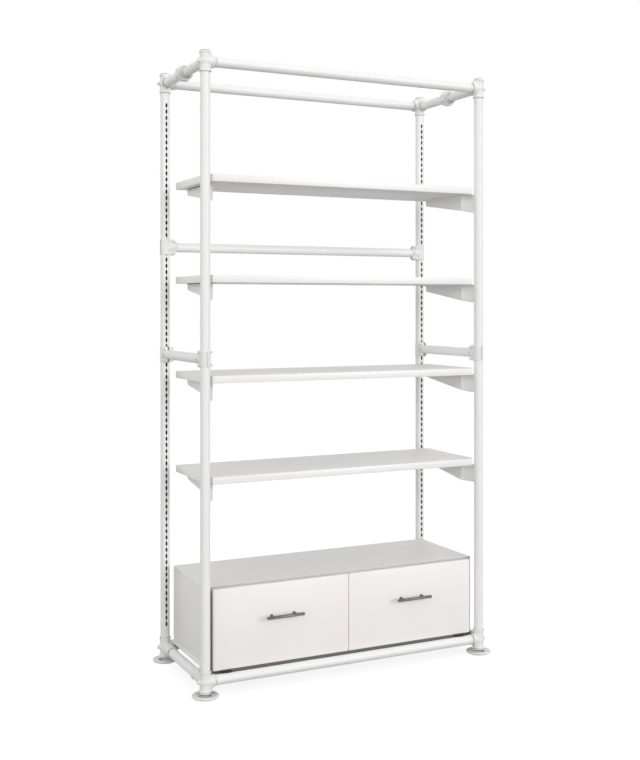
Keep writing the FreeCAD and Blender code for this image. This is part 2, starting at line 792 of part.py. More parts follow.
# Drawers. The right one is built, and the left one mirrors it.
def drawer_front():
    body = new_body("drawer_front")
    sketch = sketch_on(body, "drawer_front_outline", "XZ_Plane", "0 - front_back_face")
    corners = [
        ("front_inner", "front_bottom"),
        ("front_outer", "front_bottom"),
        ("front_outer", "front_top"),
        ("front_inner", "front_top"),
    ]
    add_outline(sketch, corners)
    pad(body, "drawer_front_board", sketch, "front_board")
    return body


BOX_INSIDE = ("box_inner + box_board", "box_outer - box_board")
FLOOR_SPAN = ("box_inner + box_board - box_groove", "box_outer - box_board + box_groove")
FLOOR_DEPTH = ("front_back_face", "box_back")
FLOOR_HEIGHT = ("box_floor_bottom", "box_floor_top")


def drawer_sides():
    """Both sides of the drawer box, grooved near the bottom for its floor."""
    height = ("box_bottom", "box_top")
    boards = [
        box("drawer_side_inner", ("box_inner", "box_inner + box_board"), FLOOR_DEPTH, height),
        box("drawer_side_outer", ("box_outer - box_board", "box_outer"), FLOOR_DEPTH, height),
    ]
    groove = box("drawer_groove", FLOOR_SPAN, FLOOR_DEPTH, FLOOR_HEIGHT)
    return cut("drawer_side_pair", group("drawer_side_boards", boards), groove)


BOX_TOP = ("box_floor_top", "box_top")
drawer_back = box("drawer_back", BOX_INSIDE, ("box_back - box_board", "box_back"), BOX_TOP)
drawer_inner_front = box(
    "drawer_inner_front", BOX_INSIDE, ("front_back_face", "front_back_face + box_board"), BOX_TOP
)
drawer_floor = box("drawer_floor", FLOOR_SPAN, FLOOR_DEPTH, FLOOR_HEIGHT)


# Runners: three channels, each open towards the next, at both sides of each drawer. The largest is
# screwed to the cabinet, the smallest to the drawer, and the one between runs half as far.
def channel(name, step, wall_x, towards):
    """A channel a number of steps inside the largest one, its web on wall_x or a step off it."""
    sign = "+" if towards == "x" else "-"
    slim = f"{step} * (runner_wall + runner_play)"
    body = new_body(name)
    sketch = sketch_on(body, f"{name}_section", "XZ_Plane", "0 - cabinet_front - runner_length")
    half = f"(runner_height / 2 - {slim})"
    near = f"({wall_x} {sign} ({slim}))"
    reach = f"({wall_x} {sign} (runner_space - runner_play - runner_wall))"
    if step == 2:
        near = f"({wall_x} {sign} runner_space)"
        reach = f"({wall_x} {sign} ({slim}))"
    web = f"({near} {sign if step < 2 else ('-' if sign == '+' else '+')} runner_wall)"
    low = f"runner_middle - {half}"
    high = f"runner_middle + {half}"
    corners = [
        (near, low),
        (reach, low),
        (reach, f"{low} + runner_wall"),
        (web, f"{low} + runner_wall"),
        (web, f"{high} - runner_wall"),
        (reach, f"{high} - runner_wall"),
        (reach, high),
        (near, high),
    ]
    add_outline(sketch, corners)
    pad(body, f"{name}_length", sketch, "runner_length")
    return body


def runner_pair(name, step):
    return group(
        name,
        [
            channel(f"{name}_inner", step, "bay_inner", "x"),
            channel(f"{name}_outer", step, "bay_outer", "-x"),
        ],
    )


# Bar handles: a round bar on two posts.
def handle_post(name, place):
    start = (f"handle_middle {place} handle_centres / 2", "handle_axis", "handle_height")
    return prism(name, 8, "handle_post_diameter", "handle_projection", start, "y")


bar_start = ("handle_middle - handle_length / 2", "handle_axis", "handle_height")
handle_bar = prism("handle_bar", ROUND_SIDES, "handle_diameter", "handle_length", bar_start, "x")
handle_posts = [handle_post("handle_post_near", "-"), handle_post("handle_post_far", "+")]
handle = fuse("handle", [handle_bar, *handle_posts])

DRAWER = {
    "front": drawer_front(),
    "box_sides": drawer_sides(),
    "box_back": drawer_back,
    "box_inner_front": drawer_inner_front,
    "box_floor": drawer_floor,
    "handle": handle,
    "runner_fixed": runner_pair("runner_fixed", 0),
    "runner_middle": runner_pair("runner_middle", 1),
    "runner_drawer": runner_pair("runner_drawer", 2),
}
for part, item in DRAWER.items():
    label(item, f"drawer_right_{part}")
    label(mirrored(f"left_{part}", item, "x"), f"drawer_left_{part}")

doc.recompute()

# Test every object, then write each sub-part to its own file.
for item in doc.Objects:
    if "Invalid" in item.State or "Error" in item.State:
        raise RuntimeError(f"{item.Name} failed to build: {item.State}")
os.makedirs("parts", exist_ok=True)
for item in NODES:
    if item.Shape.isNull() or not item.Shape.isValid() or not item.Shape.Solids:
        raise RuntimeError(f"{item.Label} has no valid solid")
    item.Shape.exportStep(os.path.join("parts", f"{item.Label}.step"))
print(f"{len(NODES)} sub-parts written")
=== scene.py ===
import json
import math

import bmesh
import bpy
from bpy.props import FloatProperty, FloatVectorProperty, IntProperty, PointerProperty
from mathutils import Matrix, Vector


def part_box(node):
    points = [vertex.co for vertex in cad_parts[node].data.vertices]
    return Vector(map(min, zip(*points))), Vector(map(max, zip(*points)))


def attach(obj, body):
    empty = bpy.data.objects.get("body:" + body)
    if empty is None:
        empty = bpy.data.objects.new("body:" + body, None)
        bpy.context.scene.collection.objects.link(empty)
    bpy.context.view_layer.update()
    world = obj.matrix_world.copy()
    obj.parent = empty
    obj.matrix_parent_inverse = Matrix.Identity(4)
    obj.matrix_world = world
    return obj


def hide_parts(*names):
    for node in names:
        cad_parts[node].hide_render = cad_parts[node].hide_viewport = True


bl_info = {
    "name": "Pipe shelving unit",
    "version": (1, 0, 0),
    "blender": (4, 5, 0),
    "location": "View3D > Sidebar > Shelving",
    "description": "Builds the visible pieces of a pipe-framed shelving unit with two drawers",
    "category": "Add Mesh",
}

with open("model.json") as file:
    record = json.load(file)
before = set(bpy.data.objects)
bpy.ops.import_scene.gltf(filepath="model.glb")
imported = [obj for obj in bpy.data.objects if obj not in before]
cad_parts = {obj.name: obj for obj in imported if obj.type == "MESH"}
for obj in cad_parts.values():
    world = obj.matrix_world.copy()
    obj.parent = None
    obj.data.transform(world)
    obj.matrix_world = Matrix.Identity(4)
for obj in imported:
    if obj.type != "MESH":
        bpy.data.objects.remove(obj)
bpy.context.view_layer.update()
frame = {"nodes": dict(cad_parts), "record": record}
MM = 0.001
UP = Vector((0, 0, 1))
RIGHT = Vector((1, 0, 0))
BACK = Vector((0, 1, 0))
MOUNTS = {mount["name"]: Vector(mount["pos_m"]) for mount in frame["record"]["mounts"]}
POST = MOUNTS["foot_back_right"]  # where the back right upright's axis meets the floor
CORNERS = ((1, 1), (-1, 1), (1, -1), (-1, -1))
SIDES = {"left": -1, "right": 1}
TOUCH = 0.01 * MM  # closer than this counts as the same place
PATCH = 140 * MM  # size of the patches over which a finish's tint drifts
BOSS_FACE = 26 * MM  # from an upright's axis to the flat face of a corner fitting's screw boss
RAIL_END = 5 * MM  # how far a rail's end runs on into a corner fitting or a union
MID_RAIL_END = 16 * MM  # the same in a clamp
HEXAGON = 13 * MM  # a bolt head or nut, across its corners
WASHER = 7.2 * MM  # radius of the washer under it

COATED = ("satin_powder_coat", "oxidised_bare_steel")
CAST = ("powder_coated_cast_iron", "oxidised_bare_steel")
BOARD = ("pearl_melamine_face", "abs_edge_banding")
FINISHES = {
    # Powder coat on drawn pipe and sheet: satin, with the shallow orange peel of a flowed coat. The peel is
    # drawn at 4 mm where the real one is nearer 2, so that it shows.
    "satin_powder_coat": dict(
        tint="pipe_coat", roughness=(0.34, 0.46), layers=((4, 0.05), (1.2, 0.012)), IOR=1.5
    ),
    # Powder coat over sand-cast malleable iron: the sand's grain still shows under the coat and dulls it.
    "powder_coated_cast_iron": dict(
        tint="casting_coat", roughness=(0.42, 0.56), layers=((9, 0.35), (1.8, 0.09)), drift=0.04, IOR=1.5
    ),
    # Drawn steel that the coat doesn't reach, in bores and slots: a dark, dry oxide film. Where the same dark
    # finish is put in the castings' socket recesses and rings, the clamps' splits, the union collars' gaps
    # and on the bearers, it is painted shade.
    "oxidised_bare_steel": dict(
        tint="bare_steel", roughness=(0.6, 0.8), layers=((5, 0.06), (1.4, 0.03)), drift=0.2, IOR=1.5
    ),
    # Melamine-faced chipboard, pressed with a fine pearl texture that keeps it matt.
    "pearl_melamine_face": dict(
        tint="board_face", roughness=(0.42, 0.52), layers=((3.2, 0.03), (0.9, 0.02)), drift=0.02, IOR=1.5
    ),
    # Plastic edge banding, extruded and scraped flush: smoother than the face, with faint lines along it.
    "abs_edge_banding": dict(
        tint="edge_band",
        roughness=(0.3, 0.38),
        layers=((2.4, 0.02),),
        drift=0.015,
        stretch=(0.05, 0.05, 1),
        IOR=1.52,
    ),
    # Plastic banding on the cabinet's front edges, which stand back behind the drawer fronts. Its dark grey
    # is painted shade of the recess round the drawer fronts.
    "grey_edge_banding": dict(
        tint="carcass_edge", roughness=(0.34, 0.42), layers=((2.4, 0.02),), stretch=(0.05, 1, 1), IOR=1.52
    ),
    # Banding on the cabinet top's front edge, which reads as a thin line over the drawers. Its grey is
    # painted shade.
    "light_grey_edge_banding": dict(
        tint="top_edge",
        roughness=(0.34, 0.42),
        layers=((2.4, 0.02),),
        drift=0.02,
        stretch=(0.05, 1, 1),
        IOR=1.52,
    ),
    # A dark grey strip under the drawer fronts, quite matt: its grey is painted shade for the gap between the
    # cabinet and the front bottom rail.
    "moulded_grey_rubber": dict(
        tint="rubber", roughness=(0.7, 0.85), layers=((3, 0.05), (1, 0.02)), drift=0.06, IOR=1.5
    ),
    # Sprayed lacquer on fibreboard: a soft sheen with a very shallow spray texture.
    "sprayed_lacquer_front": dict(
        tint="drawer_front", roughness=(0.34, 0.42), layers=((6, 0.03), (1.5, 0.01)), drift=0.02, IOR=1.5
    ),
    # Birch plywood, sanded and oiled: pale wood with its grain drawn out along the board.
    "oiled_birch_plywood": dict(
        tint="drawer_ply",
        roughness=(0.45, 0.6),
        layers=((7, 0.05), (2, 0.03)),
        drift=0.12,
        stretch=(1, 0.08, 1),
        IOR=1.5,
    ),
    # Stainless bar, brushed round its axis, so the scratches run across the handle's length. Its dark grey,
    # far below stainless's own colour, is painted shade and painted dark reflection on the bar.
    "brushed_stainless": dict(
        tint="handle",
        roughness=(0.26, 0.38),
        layers=((0.9, 0.02),),
        stretch=(1, 0.06, 0.06),
        Metallic=1.0,
        Anisotropic=0.5,
    ),
    # Bright zinc plating on pressed steel: bluish, with the soft mottle of the bath.
    "bright_zinc_plating": dict(
        tint="zinc", roughness=(0.28, 0.42), layers=((14, 0.05), (2.5, 0.015)), drift=0.08, Metallic=1.0
    ),
}


def sizes(group):
    """One group of the unit's sizes or colours, as the panel sets them."""
    return getattr(bpy.context.scene, f"shelving_{group}")


def middle(node):
    """The centre of a solid's box."""
    low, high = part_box(node)
    return (low + high) / 2


def linear(colour):
    """An sRGB hex colour as the linear RGBA that shaders use."""
    parts = [int(colour[place : place + 2], 16) / 255 for place in (1, 3, 5)]
    return [part / 12.92 if part <= 0.04045 else ((part + 0.055) / 1.055) ** 2.4 for part in parts] + [1]


def length(name, description, default):
    return FloatProperty(name=name, description=description, default=default, min=0, unit="LENGTH")


def colour(name, description, default):
    return FloatVectorProperty(
        name=name, description=description, default=linear(default), size=4, min=0, max=1, subtype="COLOR"
    )


class ShelvingPipe(bpy.types.PropertyGroup):
    diameter: length("Pipe diameter", "Outside diameter of uprights and rails", 38.1 * MM)
    wall: length("Pipe wall", "Wall thickness of the uprights", 2.6 * MM)
    flat_width: length("Flat width", "Width of the flat rolled along each upright", 10 * MM)
    slot_width: length("Slot width", "Width of a punched slot", 7.6 * MM)
    slot_length: length("Slot length", "Height of a punched slot", 14.5 * MM)
    slot_corner: length("Slot corner", "Corner radius of a punched slot", 2 * MM)
    slot_pitch: length("Slot pitch", "Distance from slot to slot", 25.4 * MM)
    first_slot: length("First slot height", "Height of the lowest slot's middle", 155.6 * MM)
    slots: IntProperty(name="Slots", description="Slots in each upright", default=85, min=1)


class ShelvingCastings(bpy.types.PropertyGroup):
    radius: length("Socket radius", "Outside radius of the fittings' sockets", 21.2 * MM)
    reach: length("Socket reach", "From an upright's axis to a fitting's rail socket end", 48 * MM)
    long_reach: length("Long socket reach", "The same for the bottom side rails' longer sockets", 113 * MM)
    rise: length("Barrel rise", "From a rail's axis to the end of the upright's socket", 39.4 * MM)
    bead_radius: length("Bead radius", "Outside radius of the bead at a socket's end", 23.4 * MM)
    shoulder: length("Shoulder", "Radius of the rounded shoulders between barrel and arms", 15 * MM)
    boss_radius: length("Boss radius", "Radius of the screw boss", 9 * MM)
    blend_cell: length("Blend cell", "Cell size of the cast skin; smaller follows the form closer", 1.7 * MM)
    blend_rounds: IntProperty(name="Blend rounds", description="Smoothing of the cast skin", default=14)
    foot_radius: length("Foot radius", "Radius of a floor flange", 51 * MM)
    foot_rim: length("Foot rim", "Thickness of a floor flange at its rim", 9 * MM)


class ShelvingClamps(bpy.types.PropertyGroup):
    radius: length("Sleeve radius", "Outside radius of the sleeve", 20.6 * MM)
    height: length("Sleeve height", "Height of the sleeve", 66 * MM)
    reach: length("Arm reach", "From an upright's axis to the arm's end", 46.5 * MM)
    split: length("Split", "Gap between the two halves", 4.4 * MM)
    web: length("Web thickness", "Thickness of each half's web from the middle", 13 * MM)
    web_slope: length("Web slope", "Length of the sloped end of the web", 10 * MM)
    bolt_from_post: length("Bolt distance", "From an upright's axis to the bolts", 31 * MM)
    bolt_rise: length("Bolt rise", "From a rail's axis to each bolt", 24.5 * MM)
    set_screw: length("Set screw distance", "From an upright's axis to the arm's set screw", 39 * MM)


class ShelvingBoards(bpy.types.PropertyGroup):
    edge: length("Edge rounding", "Rounding of the board's banded edges", 1 * MM)
    nosing: length("Nosing", "Rounding of the cabinet top's front edge", 3 * MM)
    front_edge: length("Front rounding", "Rounding of the drawer fronts' edges", 1.2 * MM)
    sheet: length("Bracket sheet", "Sheet thickness of the shelf brackets", 3 * MM)
    joggle: length("Bracket joggle", "How far inward the bracket steps under the shelf", 50 * MM)
    root_height: length("Bracket root", "Height of a bracket where its taper starts", 67 * MM)
    tip_height: length("Bracket tip", "Height of a bracket at its tip", 26 * MM)


class ShelvingColours(bpy.types.PropertyGroup):
    pipe_coat: colour("Pipe coat", "Powder coat of the pipes and brackets", "#F3F3F2")
    casting_coat: colour("Casting coat", "Powder coat of the cast fittings", "#EEEEED")
    # Dark oxide in bores and slots, and painted shade in the recesses, splits and gaps of the castings and on
    # the bearers.
    bare_steel: colour("Bare steel", "Oxide film in bores, slots and socket gaps", "#353433")
    board_face: colour("Board face", "Melamine face of shelves and cabinet", "#F1F0EE")
    edge_band: colour("Edge band", "Banding on the boards' edges", "#F5F4F2")
    # The next two greys are painted shade: the thin line over the drawers, and the recess round the drawer
    # fronts.
    top_edge: colour("Top edge", "Banding on the front edge of the cabinet's top", "#BDBCBA")
    carcass_edge: colour("Carcass edge", "Banding on the cabinet's front edges", "#858483")
    # Grey of the strip under the drawers: painted shade for the gap there.
    rubber: colour("Rubber", "Bumper strip between the cabinet and the front rail", "#6E6D6C")
    drawer_front: colour("Drawer front", "Lacquer of the drawer fronts", "#F9F4F2")
    drawer_ply: colour("Drawer board", "Veneer of the drawer boxes", "#DCC9A6")
    # Dark grey of the handles: painted shade and painted dark reflection, darker than stainless steel itself.
    handle: colour("Handle", "Stainless steel of the bar handles", "#6E6D6B")
    zinc: colour("Zinc", "Zinc plating of runners and small screws", "#C3C6C8")


def add_node(tree, kind, inputs=None, **settings):
    """Add a node with its settings, and set its inputs to values or link them to other nodes' outputs."""
    node = tree.nodes.new(kind)
    for name, setting in settings.items():
        setattr(node, name, setting)
    for name, source in (inputs or {}).items():
        if isinstance(source, bpy.types.NodeSocket):
            tree.links.new(source, node.inputs[name])
        else:
            node.inputs[name].default_value = source
    return node


def surface(name, tint, roughness, layers, drift=0.03, stretch=(1, 1, 1), **shader):
    """A finished material. Its tint drifts slightly over hand-sized areas, its roughness follows the finest
    layer, and each layer of relief is a (spacing, depth) pair in mm. stretch draws the pattern out."""
    material = bpy.data.materials.new(name)
    material.use_nodes = True
    tint = list(getattr(sizes("colours"), tint))
    material.diffuse_color = tint
    tree = material.node_tree
    tree.nodes.clear()
    place = add_node(tree, "ShaderNodeTexCoord").outputs["Object"]
    drawn = add_node(tree, "ShaderNodeMapping", {"Vector": place, "Scale": stretch}).outputs["Vector"]
    normal = None
    relief = None
    for spacing, depth in layers:
        texture = {"Vector": drawn, "Scale": 1 / (spacing * MM), "Detail": 2.0, "Roughness": 0.5}
        relief = add_node(tree, "ShaderNodeTexNoise", texture).outputs["Fac"]
        bump = {"Height": relief, "Distance": depth * MM, "Strength": 1.0}
        if normal:
            bump["Normal"] = normal
        normal = add_node(tree, "ShaderNodeBump", bump).outputs["Normal"]
    low, high = roughness
    spread = {"Value": relief, "From Min": 0.3, "From Max": 0.7, "To Min": low, "To Max": high}
    rough = add_node(tree, "ShaderNodeMapRange", spread).outputs["Result"]
    broad = {"Vector": place, "Scale": 1 / PATCH, "Detail": 3.0, "Roughness": 0.55}
    patches = add_node(tree, "ShaderNodeTexNoise", broad).outputs["Fac"]
    darker = [part * (1 - drift) for part in tint[:3]] + [1]
    lighter = [min(part * (1 + drift / 2), 1) for part in tint[:3]] + [1]
    shades = {"Fac": patches, "Color1": darker, "Color2": lighter}
    tinted = add_node(tree, "ShaderNodeMixRGB", shades).outputs["Color"]
    links = {"Base Color": tinted, "Roughness": rough, "Normal": normal}
    principled = add_node(tree, "ShaderNodeBsdfPrincipled", {**links, **shader})
    add_node(tree, "ShaderNodeOutputMaterial", {"Surface": principled.outputs["BSDF"]})
    return material


def finish(name):
    """One of the finishes as a material, made when it is first asked for."""
    return bpy.data.materials.get(name) or surface(name, **FINISHES[name])


def skinned(bm, rings, bare=(), closed=True):
    """Join rings of points with faces, and close the ends. The steps from ring to ring that bare names get
    the piece's second,
    dark finish: oxide in bores and slots, and painted shade in recesses, splits and gaps."""
    count = len(rings[0])
    for step, (ring, following) in enumerate(zip(rings, rings[1:])):
        for index in range(count):
            after = (index + 1) % count
            face = bm.faces.new((ring[index], ring[after], following[after], following[index]))
            face.material_index = int(step in bare)
    if closed:
        bm.faces.new(reversed(rings[0]))
        bm.faces.new(rings[-1])


def stacked(bm, outline, levels, start, axis, bare=()):
    """A bar of a flat outline along an axis, at (distance, scale) levels, so its ends can be chamfered."""
    side = UP if abs(axis.z) < 0.5 else RIGHT
    across = axis.cross(side)
    rings = []
    for distance, scale in levels:
        centre = start + axis * distance
        rings.append([bm.verts.new(centre + (side * u + across * v) * scale) for u, v in outline])
    skinned(bm, rings, bare)


def regular(sides, width, turn=0.0):
    """Corners of a regular outline, measured across its corners."""
    angles = [2 * math.pi * index / sides + turn for index in range(sides)]
    return [(math.cos(angle) * width / 2, math.sin(angle) * width / 2) for angle in angles]


def steps(along, radius, *pairs):
    """Steps of a profile, each a pair in mm that is counted from a distance along the axis and a radius."""
    return [(along + first * MM, radius + second * MM) for first, second in pairs]


def turned(bm, profile, start, axis, segments=48, bare=()):
    """Turn a profile of (distance along the axis, radius) steps round an axis, and close its ends."""
    stacked(bm, regular(segments, 2), profile, start, axis, bare)


def rounded(bm, edges, width, steps=2):
    """Round edges over."""
    bmesh.ops.bevel(bm, geom=edges, offset=width, segments=steps, profile=0.5, affect="EDGES")


def board(bm, low, high, edge, steps=2):
    """A board between two corners with its edges rounded."""
    part = bmesh.new()
    size = high - low
    where = Matrix.Translation((low + high) / 2) @ Matrix.Diagonal((*size, 1))
    bmesh.ops.create_cube(part, size=1, matrix=where)
    rounded(part, part.edges[:], edge, steps)
    add(bm, part)


def outlined(bm, corners, depth, edge):
    """A flat outline of points, pushed out by a vector and with its edges rounded."""
    part = bmesh.new()
    near = [part.verts.new(corner) for corner in corners]
    far = [part.verts.new(corner + depth) for corner in corners]
    skinned(part, [far, near])
    bmesh.ops.recalc_face_normals(part, faces=part.faces[:])
    rounded(part, part.edges[:], edge)
    add(bm, part)


def as_mesh(bm, name):
    """A built shape as a mesh. The shape is freed."""
    mesh = bpy.data.meshes.new(name)
    bm.to_mesh(mesh)
    bm.free()
    return mesh


def add_mesh(bm, mesh, places, move=Matrix()):
    """Add a mesh to a shape, moved and then mirrored across X and Y by each place's signs."""
    for sign_x, sign_y in places:
        vertices = len(bm.verts)
        faces = len(bm.faces)
        bm.from_mesh(mesh)
        bm.verts.ensure_lookup_table()
        bm.faces.ensure_lookup_table()
        matrix = Matrix.Diagonal((sign_x, sign_y, 1, 1)) @ move
        bmesh.ops.transform(bm, matrix=matrix, verts=bm.verts[vertices:])
        if sign_x * sign_y < 0:
            bmesh.ops.reverse_faces(bm, faces=bm.faces[faces:])


def add(bm, part, places=((1, 1),), move=Matrix()):
    """Add a built part to a larger shape in the same way, and free it."""
    mesh = as_mesh(part, "part")
    add_mesh(bm, mesh, places, move)
    bpy.data.meshes.remove(mesh)


def cast_skin(part, cell, rounds):
    """One cast skin round overlapping solids, smoothed so that they meet in fillets."""
    bmesh.ops.recalc_face_normals(part, faces=part.faces[:])
    mesh = as_mesh(part, "cast")
    rough = bpy.data.objects.new("cast", mesh)
    bpy.context.scene.collection.objects.link(rough)
    skin = rough.modifiers.new("skin", "REMESH")
    skin.mode = "VOXEL"
    skin.voxel_size = cell
    smooth = rough.modifiers.new("fillets", "SMOOTH")
    smooth.factor = 0.5
    smooth.iterations = rounds
    bpy.context.view_layer.update()
    shaped = rough.evaluated_get(bpy.context.evaluated_depsgraph_get())
    result = bmesh.new()
    result.from_mesh(shaped.to_mesh())
    shaped.to_mesh_clear()
    bpy.data.objects.remove(rough)
    bpy.data.meshes.remove(mesh)
    return result


def finished(name, bm, finishes, nodes, body="root", sharp=35, turn_outward=True):
    """Make a built shape an object with its finish, which rides on a body and stands for solids."""
    if turn_outward:
        bmesh.ops.recalc_face_normals(bm, faces=bm.faces[:])
    mesh = as_mesh(bm, name)
    for coat in finishes:
        mesh.materials.append(finish(coat))
    mesh.shade_smooth()
    mesh.set_sharp_from_angle(angle=math.radians(sharp))
    item = bpy.data.objects.new(name, mesh)
    bpy.context.scene.collection.objects.link(item)
    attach(item, body)
    if nodes:
        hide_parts(*nodes)


def band_edges(bm):
    """Give the upright faces of a board the second finish, its edge banding."""
    for face in bm.faces:
        if abs(face.normal.z) < 0.5:
            face.material_index = 1


def rounded_rectangle(width, height, radius, steps=4):
    """Corners of a rectangle with rounded corners, starting at the middle of its right side."""
    points = []
    for quarter, (sign_x, sign_y) in enumerate(((1, 1), (-1, 1), (-1, -1), (1, -1))):
        centre_x = sign_x * (width / 2 - radius)
        centre_y = sign_y * (height / 2 - radius)
        for step in range(steps + 1):
            angle = math.pi / 2 * (quarter + step / steps)
            points.append((centre_x + radius * math.cos(angle), centre_y + radius * math.sin(angle)))
    return points


def slotted_upright(low, high):
    """A pipe on the Z axis with a flat rolled along its -Y side, slotted through to the bore."""
    pipe = sizes("pipe")
    outside = pipe.diameter / 2
    bore = outside - pipe.wall
    half = pipe.flat_width / 2
    bm = bmesh.new()
    for radius, segments, inward in ((outside, 56, False), (bore, 40, True)):
        start = math.asin(half / radius)
        angles = [start + (2 * math.pi - 2 * start) * index / segments for index in range(segments + 1)]
        section = [(radius * math.sin(angle), -radius * math.cos(angle)) for angle in angles]
        rows = [[bm.verts.new((x, y, z)) for x, y in section] for z in (low, high)]
        for index in range(segments):
            corners = (rows[0][index], rows[0][index + 1], rows[1][index + 1], rows[1][index])
            face = bm.faces.new(reversed(corners) if inward else corners)
            face.material_index = int(inward)
    depths = (-math.sqrt(outside**2 - half**2), -math.sqrt(bore**2 - half**2))
    first = pipe.first_slot - pipe.slot_pitch / 2
    last = first + pipe.slots * pipe.slot_pitch
    for y, inward in zip(depths, (False, True)):
        for bottom, top in ((low, first), (last, high)):
            corners = ((-half, bottom), (half, bottom), (half, top), (-half, top))
            strip = [bm.verts.new((x, y, z)) for x, z in corners]
            face = bm.faces.new(reversed(strip) if inward else strip)
            face.material_index = int(inward)
    lip = 0.4 * MM  # the slot's punched edge is drawn in this far
    loops = ((depths[0], lip), (depths[0] + lip * 0.4, lip * 0.35), (depths[0] + lip, 0), (depths[1], 0))
    for slot in range(pipe.slots):
        z = pipe.first_slot + slot * pipe.slot_pitch
        rings = []
        for y, grown in loops:
            width, height = (size + 2 * grown for size in (pipe.slot_width, pipe.slot_length))
            outline = rounded_rectangle(width, height, pipe.slot_corner + grown)
            rings.append([bm.verts.new((x, y, z + rise)) for x, rise in outline])
        skinned(bm, rings, bare=(2,), closed=False)
        quarter = len(rings[0]) // 4
        for ring, y, inward in ((rings[0], depths[0], False), (rings[-1], depths[1], True)):
            top = z + pipe.slot_pitch / 2
            bottom = z - pipe.slot_pitch / 2
            right_side = [*ring[3 * quarter :], *ring[:quarter]]
            left_side = ring[quarter : 3 * quarter]
            for side, edge, start, end in ((right_side, half, top, bottom), (left_side, -half, bottom, top)):
                border = ((0, y, start), (edge, y, start), (edge, y, end), (0, y, end))
                corners = [*side, *(bm.verts.new(place) for place in border)]
                face = bm.faces.new(corners if inward else reversed(corners))
                face.material_index = int(inward)
    return bm


class SHELVING_OT_uprights(bpy.types.Operator):
    """Four uprights of pipe, each with its rolled flat and its row of punched slots"""

    bl_idname = "shelving.uprights"
    bl_label = "Slotted uprights"

    def execute(self, context):
        low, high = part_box("upright_back_right")
        hidden = 6 * MM  # the pipe's ends run on into the fittings
        pattern = as_mesh(slotted_upright(low.z - hidden, high.z + hidden), "upright")
        for depth, sign_y in (("back", 1), ("front", -1)):
            for side, sign_x in SIDES.items():
                bm = bmesh.new()
                add_mesh(bm, pattern, ((sign_x, sign_y),), Matrix.Translation((POST.x, POST.y, 0)))
                name = f"upright_{depth}_{side}"
                finished(f"slotted_{name}", bm, COATED, [name], turn_outward=False)
        bpy.data.meshes.remove(pattern)
        return {"FINISHED"}


class SHELVING_OT_rails(bpy.types.Operator):
    """All the rails of plain pipe, across and along the unit"""

    bl_idname = "shelving.rails"
    bl_label = "Pipe rails"
    across = ("top_rail_front", "top_rail_back", "mid_rail_back", "bottom_rail_front", "bottom_rail_back")
    along = ("mid_side_rails", "bottom_side_rails", "top_side_pipes")

    def execute(self, context):
        radius = sizes("pipe").diameter / 2
        for node in self.across + self.along:
            low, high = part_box(node)
            centre = middle(node)
            hidden = MID_RAIL_END if node.startswith("mid") else RAIL_END
            if node in self.across:
                axis, starts = RIGHT, [Vector((low.x, centre.y, centre.z))]
            else:
                axis, starts = BACK, [Vector((sign * POST.x, low.y, centre.z)) for sign in SIDES.values()]
            bm = bmesh.new()
            for start in starts:
                turned(bm, [(-hidden, radius), ((high - low).dot(axis) + hidden, radius)], start, axis, 64)
            finished(f"pipe_{node}", bm, COATED[:1], [node])
        return {"FINISHED"}


def socket_end(cast, centre, axis, bead_end, sleeve_end, gap):
    """The crisp end of a socket, at distances from the fitting's middle: a bead, the recess inside it,
    and the sleeve that runs on round the pipe where it ends past the bead. The recess and the sleeve's start
    take the dark second finish as painted shade."""
    outer = sizes("castings").bead_radius
    sleeve = sizes("pipe").diameter / 2 + gap
    profile = steps(bead_end, sleeve, (-10.5, 0.5))
    profile += steps(bead_end, outer, (-9.3, -3.1), (-8.2, -1.3), (-7, -0.3), (-5.6, 0), (-1.6, 0))
    profile += steps(bead_end, outer, (-0.4, -0.4), (0, -1.2), (0, -1.9), (-3.4, -2.1))
    profile += steps(bead_end, sleeve, (-3.4, 0))
    if sleeve_end > bead_end + 4 * MM:
        profile += steps(bead_end, sleeve, (1.8, 0)) + steps(sleeve_end, sleeve, (-0.7, 0), (0, -0.5))
    # Steps 8 to 10, the recess and the start of the sleeve, are painted shade.
    turned(cast, profile, centre, axis, 64, bare=(8, 9, 10))


